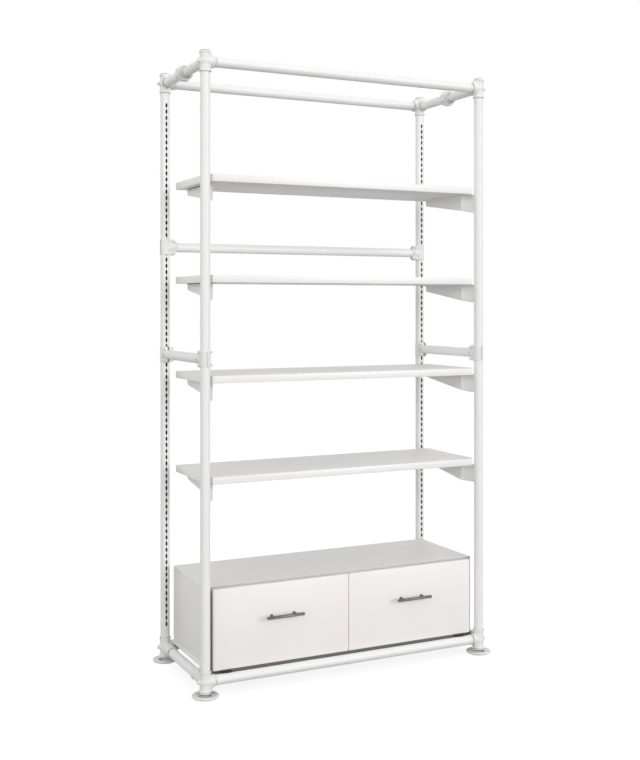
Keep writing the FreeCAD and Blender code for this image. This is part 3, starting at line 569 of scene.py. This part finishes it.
def corner_casting(centre, out, neck, side_reach):
    """A three-way fitting at the back right corner: a barrel for the upright, a socket for each rail, rounded
    shoulders on the side away from the upright, and a neck that runs out to an end. The rounded body stops
    short of the sockets' ends, which are turned on as crisp rings."""
    castings = sizes("castings")
    skin = bmesh.new()
    slim = castings.radius
    arm_end = 17 * MM
    bead_end = 12.5 * MM
    swell = 2.4 * MM
    turned(skin, [(4 * MM - castings.rise, slim), (31 * MM, slim)], centre, out)
    arms = ((-RIGHT, castings.reach), (-BACK, side_reach))
    for axis, reach in arms:
        turned(skin, [(0, slim), (reach - arm_end, slim)], centre, axis)
        for along, rise in ((13 * MM, 23 * MM), (17.5 * MM, 19 * MM), (21 * MM, 14 * MM)):
            at = Matrix.Translation(centre + axis * along + out * rise)
            bmesh.ops.create_icosphere(skin, subdivisions=3, radius=castings.shoulder, matrix=at)
    at = Matrix.Translation(centre)
    bmesh.ops.create_icosphere(skin, subdivisions=4, radius=slim + swell, matrix=at)
    face = castings.boss_radius
    turned(skin, steps(0, face, (0, 3), (20, 2), (25, 0)), centre, RIGHT)
    cast = cast_skin(skin, castings.blend_cell, castings.blend_rounds)
    for axis, reach in arms:
        socket_end(cast, centre, axis, reach - bead_end, reach, 1.2 * MM)
    socket_end(cast, centre, -out, castings.rise, 0, 0.2 * MM)
    socket_end(cast, centre, out, castings.rise - 1.5 * MM, neck, 0.7 * MM)
    turned(cast, steps(BOSS_FACE, face, (-6, 0.4), (-0.8, 0), (0, -0.8)), centre, RIGHT, 32)
    if neck > castings.rise + 5 * MM:
        # The pipe stub under a bottom fitting takes the dark second finish: painted shade in the floor
        # flange's ring.
        stub = sizes("pipe").diameter / 2 - 0.8 * MM
        turned(cast, steps(neck, stub, (-4, 0), (13, 0)), centre, out, bare=(0,))
    return cast


class SHELVING_OT_corner_fittings(bpy.types.Operator):
    """Eight cast three-way fittings with beaded sockets and a screw boss on the outer side"""

    bl_idname = "shelving.corner_fittings"
    bl_label = "Corner fittings"

    def execute(self, context):
        castings = sizes("castings")
        stub = 15.5 * MM  # height up to which the bare pipe stub shows over a floor flange
        top = Vector((POST.x, POST.y, middle("top_rail_back").z))
        low = Vector((POST.x, POST.y, middle("bottom_rail_back").z))
        for name, centre, out, neck, side_reach in (
            ("top", top, UP, castings.rise, castings.reach),
            ("bottom", low, -UP, low.z - stub, castings.long_reach),
        ):
            bm = bmesh.new()
            add(bm, corner_casting(centre, out, neck, side_reach), CORNERS)
            finished(f"cast_{name}_fittings", bm, CAST, [f"{name}_corner_fittings"])
        return {"FINISHED"}


def hexagon_head(bm, start, axis, width, height, washer=0.0):
    """A hexagon head or nut with its corners chamfered, on a washer where it has one."""
    if washer:
        turned(bm, steps(0, washer, (0, 0), (1, 0), (1.4, -0.4)), start, axis, 32)
    levels = [(0, 0.94), (0.7 * MM, 1), (height - 1.2 * MM, 1), (height - 0.3 * MM, 0.92), (height, 0.84)]
    stacked(bm, regular(6, width, math.pi / 6), levels, start, axis)


class SHELVING_OT_corner_screws(bpy.types.Operator):
    """Hexagon-headed screws in the bosses of the corner fittings"""

    bl_idname = "shelving.corner_screws"
    bl_label = "Corner screws"

    def execute(self, context):
        bm = bmesh.new()
        for node in ("top_rail_back", "bottom_rail_back"):
            part = bmesh.new()
            start = Vector((POST.x + BOSS_FACE, POST.y, middle(node).z))
            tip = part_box("corner_screws")[1].x - start.x
            hexagon_head(part, start, RIGHT, HEXAGON, tip - 0.4 * MM, WASHER)
            turned(part, steps(0, 0, (6, 4)) + steps(tip, 0, (-0.2, 3.4), (0, 2.8)), start, RIGHT, 24)
            add(bm, part, CORNERS)
        finished("hexagon_corner_screws", bm, CAST[:1], ["corner_screws"])
        return {"FINISHED"}


class SHELVING_OT_top_plugs(bpy.types.Operator):
    """Screwed plugs that close the top fittings, each with a socket for a key"""

    bl_idname = "shelving.top_plugs"
    bl_label = "Top plugs"

    def execute(self, context):
        low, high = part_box("top_plugs")
        part = bmesh.new()
        start = Vector((POST.x, POST.y, low.z - 1 * MM))
        rise = high.z - start.z
        profile = [(0, 18.6 * MM)]
        profile += steps(rise, 0, (-0.9, 18.6), (-0.2, 17.8), (0, 16.5), (0, 8), (-0.7, 6.9), (-1.6, 6.8))
        turned(part, profile, start, UP)
        bm = bmesh.new()
        add(bm, part, CORNERS)
        finished("screwed_top_plugs", bm, CAST[:1], ["top_plugs"])
        return {"FINISHED"}


class SHELVING_OT_floor_flanges(bpy.types.Operator):
    """Round floor flanges with a rolled rim and a dish that falls to the pipe stub"""

    bl_idname = "shelving.floor_flanges"
    bl_label = "Floor flanges"

    def execute(self, context):
        wide = sizes("castings").foot_radius
        rim = sizes("castings").foot_rim
        profile = steps(0, wide, (0, -8.5), (0.6, -6), (2.2, -3), (4.2, -1), (6, -0.1))
        profile += steps(rim, wide, (-1.8, 0), (0, -1.2), (1.3, -3.6), (1.8, -6.4), (1.4, -9), (0.3, -12))
        profile += steps(rim, wide, (-0.6, -16), (-1, -24), (-1.5, -25.4), (-2.6, -26.2))
        profile += steps(0, wide, (1, -26.6), (1, -31))
        part = bmesh.new()
        # Step 15, the floor of the ring round the stub, takes the dark second finish: painted shade.
        turned(part, profile, Vector((POST.x, POST.y, 0)), UP, 72, bare=(15,))
        bm = bmesh.new()
        add(bm, part, CORNERS)
        finished("dished_floor_flanges", bm, CAST, ["foot_flanges"])
        return {"FINISHED"}


class SHELVING_OT_unions(bpy.types.Operator):
    """Unions in the middle of the top side rails: an octagon nut between two collars"""

    bl_idname = "shelving.unions"
    bl_label = "Unions"

    def execute(self, context):
        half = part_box("union_nuts")[1].y
        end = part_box("union_ends")[1].y
        across_corners = 68 * MM
        levels = [(-half, 0.955), (1 * MM - half, 0.985), (2.6 * MM - half, 1)]
        levels += [(-distance, scale) for distance, scale in reversed(levels)]
        collar = steps(half, 0, (-1, 26.2), (0.3, 26), (0.3, 24.6), (8, 23.4))
        collar += steps(end, 0, (-2.4, 22.9), (-0.8, 22.2), (0, 21.2), (0, 20.9), (-3, 20.7), (-3, 19.1))
        nuts = bmesh.new()
        ends = bmesh.new()
        for sign in SIDES.values():
            at = Vector((sign * POST.x, 0, middle("union_nuts").z))
            stacked(nuts, regular(8, across_corners, math.pi / 8), levels, at, BACK)
            for axis in (BACK, -BACK):
                # Steps 1, 7 and 8, the shoulder next to the nut and the recess in the collar's end, are
                # painted shade.
                turned(ends, collar, at, axis, 64, bare=(1, 7, 8))
        finished("octagon_union_nuts", nuts, CAST[:1], ["union_nuts"], sharp=25)
        finished("turned_union_collars", ends, CAST, ["union_ends"])
        return {"FINISHED"}


def clamp_casting():
    """A whole clamp round an upright on the Z axis, with its arm along -Y, before it is split in halves."""
    clamps = sizes("clamps")
    part = bmesh.new()
    half = clamps.height / 2
    turned(part, [(1 * MM - half, clamps.radius), (half - 1 * MM, clamps.radius)], Vector(), UP)
    arm = sizes("castings").radius
    turned(part, [(0, arm), (clamps.reach - 1 * MM, arm)], Vector(), -BACK)
    upper = [(0, half), (clamps.web_slope - clamps.reach, half), (1 * MM - clamps.reach, arm)]
    web = upper + [(y, -z) for y, z in reversed(upper)]
    outlined(part, [Vector((-clamps.web, y, z)) for y, z in web], RIGHT * 2 * clamps.web, 1.5 * MM)
    cast = cast_skin(part, sizes("castings").blend_cell, 6)
    inner = sizes("pipe").diameter / 2 + 0.2 * MM
    ring = steps(clamps.reach, arm, (-7, -1), (-2.6, 0.6), (-0.6, 0.4), (0, -0.3))
    ring += steps(clamps.reach, inner, (0, 1.2), (-3, 1), (-3, 0))
    # Step 5, the step inside the arm's end, takes the dark second finish: painted shade.
    turned(cast, ring, Vector(), -BACK, bare=(5,))
    bmesh.ops.recalc_face_normals(cast, faces=cast.faces[:])
    return as_mesh(cast, "clamp")


def clamp_half(mesh, side):
    """The half of a clamp on one side of the split, its cut closed, with the set screw of its arm."""
    clamps = sizes("clamps")
    bm = bmesh.new()
    bm.from_mesh(mesh)
    plane = RIGHT * side * clamps.split / 2
    geometry = [*bm.verts, *bm.edges, *bm.faces]
    cut = bmesh.ops.bisect_plane(bm, geom=geometry, plane_co=plane, plane_no=RIGHT * -side, clear_outer=True)
    rim = [item for item in cut["geom_cut"] if isinstance(item, bmesh.types.BMEdge)]
    # The faces that close the cut take the dark second finish: painted shade in the split between the halves.
    for face in bmesh.ops.holes_fill(bm, edges=rim)["faces"]:
        face.material_index = 1
    # The set screw's socket takes the dark second finish: painted shade.
    screw = steps(sizes("castings").radius, 0, (-2, 6.4), (0.6, 5.8), (1.2, 5), (1.2, 3.6), (-1.4, 3.5))
    turned(bm, screw, -BACK * clamps.set_screw, RIGHT * side, 32, bare=(3,))
    return as_mesh(bm, "clamp_half")


def clamp_bolts(head_side, tip):
    """A clamp's two bolts, above and below its rail, with their nuts and threads that run out to the tip."""
    clamps = sizes("clamps")
    height = 6.3 * MM
    thread_start = 6 * MM  # inside the nut; the last turn stops a little short of the tip
    pitch = 1.2 * MM
    part = bmesh.new()
    for rise in (clamps.bolt_rise, -clamps.bolt_rise):
        for side in (head_side, -head_side):
            face = Vector((side * (clamps.web - 0.3 * MM), -clamps.bolt_from_post, rise))
            hexagon_head(part, face, RIGHT * side, HEXAGON, height, WASHER)
        thread = [(0, 3.8 * MM)]
        for turn in range(int((tip - 7 * MM) / pitch)):
            start = thread_start + turn * pitch
            thread += [(start, 3.4 * MM), (start + pitch / 2, 3.95 * MM)]
        thread += steps(tip, 0, (-0.6, 3.4), (0, 2.8))
        turned(part, thread, face, RIGHT * -head_side, 20)
    return part


class SHELVING_OT_tee_clamps(bpy.types.Operator):
    """Six split tee clamps for the middle rails, each of two halves pulled together by two bolts"""

    bl_idname = "shelving.tee_clamps"
    bl_label = "Tee clamps"

    def execute(self, context):
        whole = clamp_casting()
        halves = {side: clamp_half(whole, side) for side in (1, -1)}
        side_place = Matrix.Translation((POST.x, POST.y, middle("mid_side_rails").z))
        back_place = Matrix.Translation((POST.x, POST.y, middle("mid_rail_back").z))
        back_place @= Matrix.Rotation(-math.pi / 2, 4, "Z")
        outer = bmesh.new()
        inner = bmesh.new()
        bolts = bmesh.new()
        for target, side in ((outer, 1), (inner, -1)):
            add_mesh(target, halves[side], CORNERS, side_place)
            add_mesh(target, halves[-side], CORNERS[:2], back_place)
        short = 14.2 * MM
        long = 27 * MM
        for place, head_side, tip, corners in (
            (side_place, 1, short, CORNERS[:3]),
            (side_place, 1, long, CORNERS[3:]),
            (back_place, -1, short, CORNERS[:2]),
        ):
            add(bolts, clamp_bolts(head_side, tip), corners, place)
        for mesh in (whole, *halves.values()):
            bpy.data.meshes.remove(mesh)
        finished("clamp_outer_shells", outer, CAST, ["clamp_outer_halves"])
        finished("clamp_inner_shells", inner, CAST, ["clamp_inner_halves"])
        finished("clamp_bolts_and_nuts", bolts, CAST, ["clamp_bolts"])
        return {"FINISHED"}


class SHELVING_OT_shelves(bpy.types.Operator):
    """Four faced boards with banded edges, notched round the front uprights"""

    bl_idname = "shelving.shelves"
    bl_label = "Shelves"

    def execute(self, context):
        notch = 30 * MM
        notch_x = POST.x - notch
        notch_y = notch - POST.y
        for number in range(1, 5):
            low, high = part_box(f"shelf_{number}")
            right = [(notch_x, low.y), (notch_x, notch_y), (high.x, notch_y), (high.x, high.y)]
            corners = [*right, *[(-x, y) for x, y in reversed(right)]]
            bm = bmesh.new()
            points = [Vector((x, y, low.z)) for x, y in corners]
            outlined(bm, points, UP * (high.z - low.z), sizes("boards").edge)
            bm.normal_update()
            band_edges(bm)
            finished(f"banded_shelf_{number}", bm, BOARD, [f"shelf_{number}"])
        return {"FINISHED"}


def bracket_stations(reach, joggle):
    """The bracket's line seen from above, with its two bends rounded, as (x, y) from the upright's axis."""
    ends = ((0, 18.5 * MM), (0, 32.5 * MM), (-joggle, 54.5 * MM), (-joggle, reach))
    corners = [Vector(end) for end in ends]
    bend = 5 * MM
    steps = 5
    stations = [corners[0]]
    for before, corner, after in zip(corners, corners[1:], corners[2:]):
        towards = (before - corner).normalized() * bend
        away = (after - corner).normalized() * bend
        for step in range(steps + 1):
            share = step / steps
            stations.append(corner + towards * (1 - share) ** 2 + away * share**2)
    straight = 60 * MM
    for share in (0.25, 0.5, 0.75, 0.93, 0.97, 0.99, 1):
        stations.append(Vector((-joggle, straight + (reach - straight) * share)))
    return stations


def shelf_bracket(underside, reach, full):
    """A right-hand bracket at the front upright: one tapered sheet, its top flange and its two hooks. It
    reaches back from the upright's axis and has its full height there."""
    boards = sizes("boards")
    pipe = sizes("pipe")
    half = boards.sheet / 2
    stations = bracket_stations(reach, boards.joggle)
    lead_start = 34 * MM
    taper_start = 56 * MM
    flange_start = 57 * MM
    tip = 7 * MM
    part = bmesh.new()
    rows = []  # the sheet's section at each station
    for before, station, after in zip([stations[0], *stations], stations, [*stations[1:], stations[-1]]):
        along = (after - before).normalized()
        side = Vector((along.y, -along.x)) * half
        lead = min(1, max(0, (station.y - lead_start) / (taper_start - lead_start)))
        share = max(0, (station.y - taper_start) / (reach - taper_start))
        height = full + (boards.root_height - full) * lead + (boards.tip_height - boards.root_height) * share
        if station.y > reach - tip:
            height -= tip * (1 - math.sqrt(max(0, 1 - ((station.y - reach + tip) / tip) ** 2)))
        row = []
        for sign, z in ((1, 0), (-1, 0), (-1, -height), (1, -height)):
            flat = station + side * sign
            row.append(part.verts.new((flat.x, flat.y, z)))
        rows.append(row)
    skinned(part, rows)
    bmesh.ops.recalc_face_normals(part, faces=part.faces[:])
    long_edges = [edge for edge in part.edges if edge.is_manifold and edge.calc_face_angle() > 1]
    rounded(part, long_edges, 0.5 * MM)
    outer = half - boards.joggle
    inner = -boards.joggle - 20 * MM
    corner = 6 * MM
    eased = 1.8 * MM
    flange = [(outer, flange_start), (outer, reach), (inner + corner, reach), (inner + eased, reach - eased)]
    flange += [(inner, reach - corner), (inner, flange_start + corner)]
    flange += [(inner + eased, flange_start + eased), (inner + corner, flange_start)]
    outlined(part, [Vector((x, y, -boards.sheet)) for x, y in flange], UP * boards.sheet, 0.5 * MM)
    head = steps(0, 0, (0, 4.4), (0.8, 4.3), (1.7, 3.4), (2.2, 2.0), (1.4, 1.6))
    for share in (0.2, 0.8):
        along = flange_start + (reach - flange_start) * share
        screw = Vector((inner + 9 * MM, along, 0.1 * MM - boards.sheet))
        turned(part, head, screw, -UP, 24)
    top_slot = 26.8 * MM  # from the shelf's underside down to the middle of the upper slot in use
    for drop in (0, pipe.slot_pitch):
        seat = -top_slot - pipe.slot_length / 2 - drop
        hook = steps(0, seat, (21.5, 0), (15.6, 0), (15.6, -3.7), (14.9, -4.5), (13.4, -4.5), (12.6, -3.7))
        hook += steps(0, seat, (12.6, 6), (14.8, 9), (21.5, 9))
        outlined(part, [Vector((-half, y, z)) for y, z in hook], RIGHT * boards.sheet, 0.35 * MM)
    bmesh.ops.translate(part, verts=part.verts[:], vec=Vector((POST.x, -POST.y, underside)))
    return part


class SHELVING_OT_shelf_brackets(bpy.types.Operator):
    """Eight tapered sheet-steel brackets, hooked in the slots of the front uprights"""

    bl_idname = "shelving.shelf_brackets"
    bl_label = "Shelf brackets"

    def execute(self, context):
        for number in range(1, 5):
            low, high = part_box(f"shelf_bracket_right_{number}")
            for side, sign in SIDES.items():
                bm = bmesh.new()
                add(bm, shelf_bracket(high.z, high.y + POST.y, high.z - low.z), ((sign, 1),))
                name = f"shelf_bracket_{side}_{number}"
                finished(f"pressed_{name}", bm, COATED[:1], [name])
        return {"FINISHED"}


class SHELVING_OT_bearers(bpy.types.Operator):
    """Two angle irons across the bottom rails that carry the cabinet, and their screws"""

    bl_idname = "shelving.bearers"
    bl_label = "Cabinet bearers"

    def execute(self, context):
        low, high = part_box("cabinet_bearers")
        sheet = 3 * MM
        inner = high.x - 40 * MM
        leg = high.y - 27.05 * MM  # the upright leg ends short of the rails that the plate lies on
        part = bmesh.new()
        board(part, Vector((inner, low.y, high.z - sheet)), high.copy(), 0.5 * MM)
        board(part, Vector((inner, -leg, low.z)), Vector((inner + sheet, leg, high.z - 0.4 * MM)), 0.5 * MM)
        bm = bmesh.new()
        add(bm, part, ((-1, 1), (1, 1)))
        # The bearers take the dark finish all over: blackened steel, whose dark grey is also painted shade
        # that merges with the shade under the drawers.
        finished("angle_bearers", bm, COATED[1:], ["cabinet_bearers"])
        screws_low, screws_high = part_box("bearer_screws")
        across = inner + 20 * MM
        cabinet_screw = 129 * MM  # from the middle to the screws that hold the cabinet's floor
        hexagon = 11 * MM
        part = bmesh.new()
        hexagon_head(part, Vector((across, POST.y, high.z)), UP, hexagon, screws_high.z - high.z)
        underside = high.z - sheet
        hexagon_head(part, Vector((across, cabinet_screw, underside)), -UP, hexagon, underside - screws_low.z)
        bm = bmesh.new()
        add(bm, part, CORNERS)
        # Their screws are dark in the same way, partly painted shade.
        finished("hexagon_bearer_screws", bm, COATED[1:], ["bearer_screws"])
        return {"FINISHED"}


class SHELVING_OT_cabinet(bpy.types.Operator):
    """The cabinet's boards: floor, top, sides, divider and back"""

    bl_idname = "shelving.cabinet"
    bl_label = "Cabinet"

    def execute(self, context):
        boards = sizes("boards")
        for part, flat in (
            ("floor_board", True),
            ("top_board", True),
            ("side_left", False),
            ("side_right", False),
            ("divider", False),
            ("back_board", False),
        ):
            low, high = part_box(f"cabinet_{part}")
            bm = bmesh.new()
            board(bm, low, high, boards.edge if flat else boards.edge / 2)
            if part == "top_board":
                front = [
                    line
                    for line in bm.edges
                    if all(vert.co.z > high.z - TOUCH for vert in line.verts)
                    and all(vert.co.y < low.y + boards.edge + TOUCH for vert in line.verts)
                    and line.calc_length() > 1
                ]
                rounded(bm, front, boards.nosing, 6)
            bm.normal_update()
            if flat:
                band_edges(bm)
            # Faces that look to the front get the third finish, grey banding whose grey is painted shade; the
            # top's front edge a lighter painted shade.
            for face in bm.faces:
                if face.normal.y < -0.3:
                    face.material_index = 2
                elif not flat and part != "back_board" and face.normal.y > 0.5:
                    face.material_index = 1
            painted_shade_band = "light_grey_edge_banding" if part == "top_board" else "grey_edge_banding"
            finished(f"faced_cabinet_{part}", bm, (*BOARD, painted_shade_band), [f"cabinet_{part}"])
        return {"FINISHED"}


class SHELVING_OT_shade_gap_strip(bpy.types.Operator):
    """A dark grey strip that fills the gap between the cabinet and the front bottom rail, above and below
    the bearers' plates at its ends. Its grey is painted shade for that gap."""

    bl_idname = "shelving.bumper_strip"
    bl_label = "Bumper strip"

    def execute(self, context):
        floor_low, floor_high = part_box("cabinet_floor_board")
        plate_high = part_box("cabinet_bearers")[1]
        front = floor_low.y - 16 * MM
        back = floor_low.y - 0.2 * MM
        foot = 70 * MM
        head = floor_low.z + 5.4 * MM
        inner = plate_high.x - 41 * MM
        end = floor_high.x - 2 * MM
        edge = 0.8 * MM
        bm = bmesh.new()
        board(bm, Vector((-inner, front, foot)), Vector((inner, back, head)), edge)
        for sign in SIDES.values():
            across = sorted((sign * inner, sign * end))
            for low, high in ((foot, plate_high.z - 3.2 * MM), (plate_high.z + 0.2 * MM, head)):
                board(bm, Vector((across[0], front, low)), Vector((across[1], back, high)), edge)
        # The strip's dark grey is painted shade.
        finished("rubber_bumper_strip", bm, ["moulded_grey_rubber"], [])
        return {"FINISHED"}


class SHELVING_OT_drawer_fronts(bpy.types.Operator):
    """Two lacquered drawer fronts"""

    bl_idname = "shelving.drawer_fronts"
    bl_label = "Drawer fronts"

    def execute(self, context):
        for side in SIDES:
            body = f"drawer_{side}"
            low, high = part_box(f"{body}_front")
            bm = bmesh.new()
            board(bm, low, high, sizes("boards").front_edge, 3)
            lacquer = ["sprayed_lacquer_front"]
            finished(f"lacquered_front_{side}", bm, lacquer, [f"{body}_front"], body)
        return {"FINISHED"}


class SHELVING_OT_drawer_boxes(bpy.types.Operator):
    """The drawers' boxes of plywood boards"""

    bl_idname = "shelving.drawer_boxes"
    bl_label = "Drawer boxes"

    def execute(self, context):
        thick = 12 * MM
        for side in SIDES:
            body = f"drawer_{side}"
            for part in ("box_back", "box_inner_front", "box_floor", "box_sides"):
                node = f"{body}_{part}"
                low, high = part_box(node)
                bm = bmesh.new()
                if part == "box_sides":
                    board(bm, low, Vector((low.x + thick, high.y, high.z)), 0.8 * MM)
                    board(bm, Vector((high.x - thick, low.y, low.z)), high, 0.8 * MM)
                    part = "sides"
                else:
                    board(bm, low, high, 0.5 * MM)
                finished(f"{body}_ply_{part}", bm, ["oiled_birch_plywood"], [node], body)
        return {"FINISHED"}


class SHELVING_OT_handles(bpy.types.Operator):
    """Bar handles of brushed steel on two turned posts"""

    bl_idname = "shelving.handles"
    bl_label = "Bar handles"

    def execute(self, context):
        half_span = 48 * MM  # half the distance between a handle's posts
        for side in SIDES:
            node = f"drawer_{side}_handle"
            low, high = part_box(node)
            start = Vector((low.x, low.y + 6 * MM, middle(node).z))
            length_x = high.x - low.x
            bm = bmesh.new()
            bar = steps(0, 0, (0, 4.6), (0.35, 5.5), (1, 5.95))
            bar += [(length_x - distance, radius) for distance, radius in reversed(bar)]
            turned(bm, bar, start, RIGHT, 40)
            depth = high.y - start.y
            post = [(0, 4 * MM)] + steps(depth, 0, (-5, 4), (-3, 4.4), (-1.4, 5.6), (-0.4, 6), (0, 6))
            for offset in (-half_span, half_span):
                turned(bm, post, start + RIGHT * (length_x / 2 + offset), BACK, 32)
            # The steel's dark grey is painted shade and painted dark reflection.
            steel = ["brushed_stainless"]
            finished(f"bar_handle_{side}", bm, steel, [node], f"drawer_{side}")
        return {"FINISHED"}


class SHELVING_OT_runners(bpy.types.Operator):
    """The telescopic runners' channels, as their solids with rounded edges and plated"""

    bl_idname = "shelving.runners"
    bl_label = "Drawer runners"

    def execute(self, context):
        for side in SIDES:
            for part in ("fixed", "middle", "drawer"):
                channel = frame["nodes"][f"drawer_{side}_runner_{part}"]
                channel.data.materials.clear()
                channel.data.materials.append(finish("bright_zinc_plating"))
                edge = channel.modifiers.new("rolled_edges", "BEVEL")
                edge.width = 0.3 * MM
                edge.segments = 2
                edge.limit_method = "ANGLE"
        return {"FINISHED"}


FRAME_HEIGHT = 760  # the picture's, in pixels, like the next two
FOCAL_LENGTH = 1111
HORIZON_DROP = 76.2  # from the horizon down to the frame's middle
SURROUND = 0.67  # how strongly the white surround lights the object
FLOOR_GLOW = 0.85  # lifts the floor to white and still keeps the object's shadow on it
LAMP_DISTANCE = 8


def backdrop(tree, seen, lit):
    """Mix what the camera, mirrors and glass see with what lights the object."""
    path = add_node(tree, "ShaderNodeLightPath").outputs
    first = {0: path["Is Camera Ray"], 1: path["Is Glossy Ray"]}
    either = add_node(tree, "ShaderNodeMath", first, operation="MAXIMUM").outputs[0]
    both = {0: either, 1: path["Is Transmission Ray"]}
    shown = add_node(tree, "ShaderNodeMath", both, operation="MAXIMUM").outputs[0]
    return add_node(tree, "ShaderNodeMixShader", {0: shown, 1: lit, 2: seen}).outputs[0]


class SHELVING_OT_studio(bpy.types.Operator):
    """A white studio: floor, two low soft lights, an even fill and the camera"""

    bl_idname = "shelving.studio"
    bl_label = "Studio"

    def execute(self, context):
        scene = context.scene
        world = bpy.data.worlds.new("white_studio")
        scene.world = world
        world.use_nodes = True
        tree = world.node_tree
        tree.nodes.clear()
        white = {"Color": (1, 1, 1, 1)}
        seen = add_node(tree, "ShaderNodeBackground", {**white, "Strength": 1.0}).outputs[0]
        lit = add_node(tree, "ShaderNodeBackground", {**white, "Strength": SURROUND}).outputs[0]
        add_node(tree, "ShaderNodeOutputWorld", {"Surface": backdrop(tree, seen, lit)})

        bm = bmesh.new()
        reach = 14
        gap = 0.2 * MM
        corners = [(-reach, -reach), (reach, -reach), (reach, reach), (-reach, reach)]
        bm.faces.new([bm.verts.new((x, y, -gap)) for x, y in corners])
        mesh = as_mesh(bm, "studio_floor")
        floor = bpy.data.objects.new("studio_floor", mesh)
        scene.collection.objects.link(floor)
        paint = bpy.data.materials.new("matt_white_floor")
        paint.use_nodes = True
        tree = paint.node_tree
        tree.nodes.clear()
        # Matt white paint, rolled: the camera sees it nearly as white as the surround, and with its shadows.
        # What it throws back on the object is a plain light grey.
        matt = add_node(tree, "ShaderNodeBsdfDiffuse", {"Color": linear("#8C8C8C")}).outputs[0]
        glow = add_node(tree, "ShaderNodeEmission", {**white, "Strength": FLOOR_GLOW}).outputs[0]
        lifted = add_node(tree, "ShaderNodeAddShader", {0: matt, 1: glow}).outputs[0]
        worn = add_node(tree, "ShaderNodeBsdfDiffuse", {"Color": linear("#929292")}).outputs[0]
        add_node(tree, "ShaderNodeOutputMaterial", {"Surface": backdrop(tree, lifted, worn)})
        mesh.materials.append(paint)

        for name, energy, spread, azimuth, elevation in (
            ("soft_key", 1.1, 34, 30, 14),
            ("soft_fill", 1.11, 50, -50, 5),
        ):
            lamp = bpy.data.lights.new(name, "SUN")
            lamp.angle = math.radians(spread)
            lamp.energy = energy
            light = bpy.data.objects.new(name, lamp)
            scene.collection.objects.link(light)
            turn = math.radians(azimuth)
            rise = math.radians(elevation)
            flat = Vector((math.sin(turn), -math.cos(turn), 0)) * math.cos(rise)
            towards_light = flat + UP * math.sin(rise)
            light.location = towards_light * LAMP_DISTANCE
            light.rotation_euler = towards_light.to_track_quat("Z", "Y").to_euler()

        # The photograph's camera, level, with its frame shifted down.
        lens = bpy.data.cameras.new("photo_camera")
        lens.sensor_fit = "VERTICAL"
        lens.sensor_height = 36
        lens.lens = lens.sensor_height * FOCAL_LENGTH / FRAME_HEIGHT
        lens.shift_y = -HORIZON_DROP / FRAME_HEIGHT
        camera = bpy.data.objects.new("photo_camera", lens)
        camera.location = (-2.054, -4.163, 1.473)
        camera.rotation_euler = (math.pi / 2, 0, -0.4551)
        scene.collection.objects.link(camera)
        scene.camera = camera
        scene.view_settings.view_transform = "Standard"
        return {"FINISHED"}


PIECES = (
    SHELVING_OT_uprights,
    SHELVING_OT_rails,
    SHELVING_OT_corner_fittings,
    SHELVING_OT_corner_screws,
    SHELVING_OT_top_plugs,
    SHELVING_OT_floor_flanges,
    SHELVING_OT_unions,
    SHELVING_OT_tee_clamps,
    SHELVING_OT_shelves,
    SHELVING_OT_shelf_brackets,
    SHELVING_OT_bearers,
    SHELVING_OT_cabinet,
    SHELVING_OT_shade_gap_strip,
    SHELVING_OT_drawer_fronts,
    SHELVING_OT_drawer_boxes,
    SHELVING_OT_handles,
    SHELVING_OT_runners,
    SHELVING_OT_studio,
)
SETTINGS = {
    "shelving_pipe": ShelvingPipe,
    "shelving_castings": ShelvingCastings,
    "shelving_clamps": ShelvingClamps,
    "shelving_boards": ShelvingBoards,
    "shelving_colours": ShelvingColours,
}


class SHELVING_PT_panel(bpy.types.Panel):
    """The unit's sizes, colours and pieces"""

    bl_idname = "SHELVING_PT_panel"
    bl_label = "Shelving unit"
    bl_space_type = "VIEW_3D"
    bl_region_type = "UI"
    bl_category = "Shelving"

    def draw(self, context):
        for group in SETTINGS:
            settings = getattr(context.scene, group)
            column = self.layout.column(align=True)
            for name in settings.__annotations__:
                column.prop(settings, name)
        for operator in PIECES:
            self.layout.operator(operator.bl_idname)


def register():
    for group in SETTINGS.values():
        bpy.utils.register_class(group)
    for operator in PIECES:
        bpy.utils.register_class(operator)
    bpy.utils.register_class(SHELVING_PT_panel)
    for name, group in SETTINGS.items():
        setattr(bpy.types.Scene, name, PointerProperty(type=group))


def unregister():
    for name in SETTINGS:
        delattr(bpy.types.Scene, name)
    for item in (SHELVING_PT_panel, *reversed(PIECES), *SETTINGS.values()):
        bpy.utils.unregister_class(item)


def main():
    """Build every piece and the studio."""
    register()
    for operator in PIECES:
        family, name = operator.bl_idname.split(".")
        getattr(getattr(bpy.ops, family), name)()


if __name__ == "__main__":
    main()
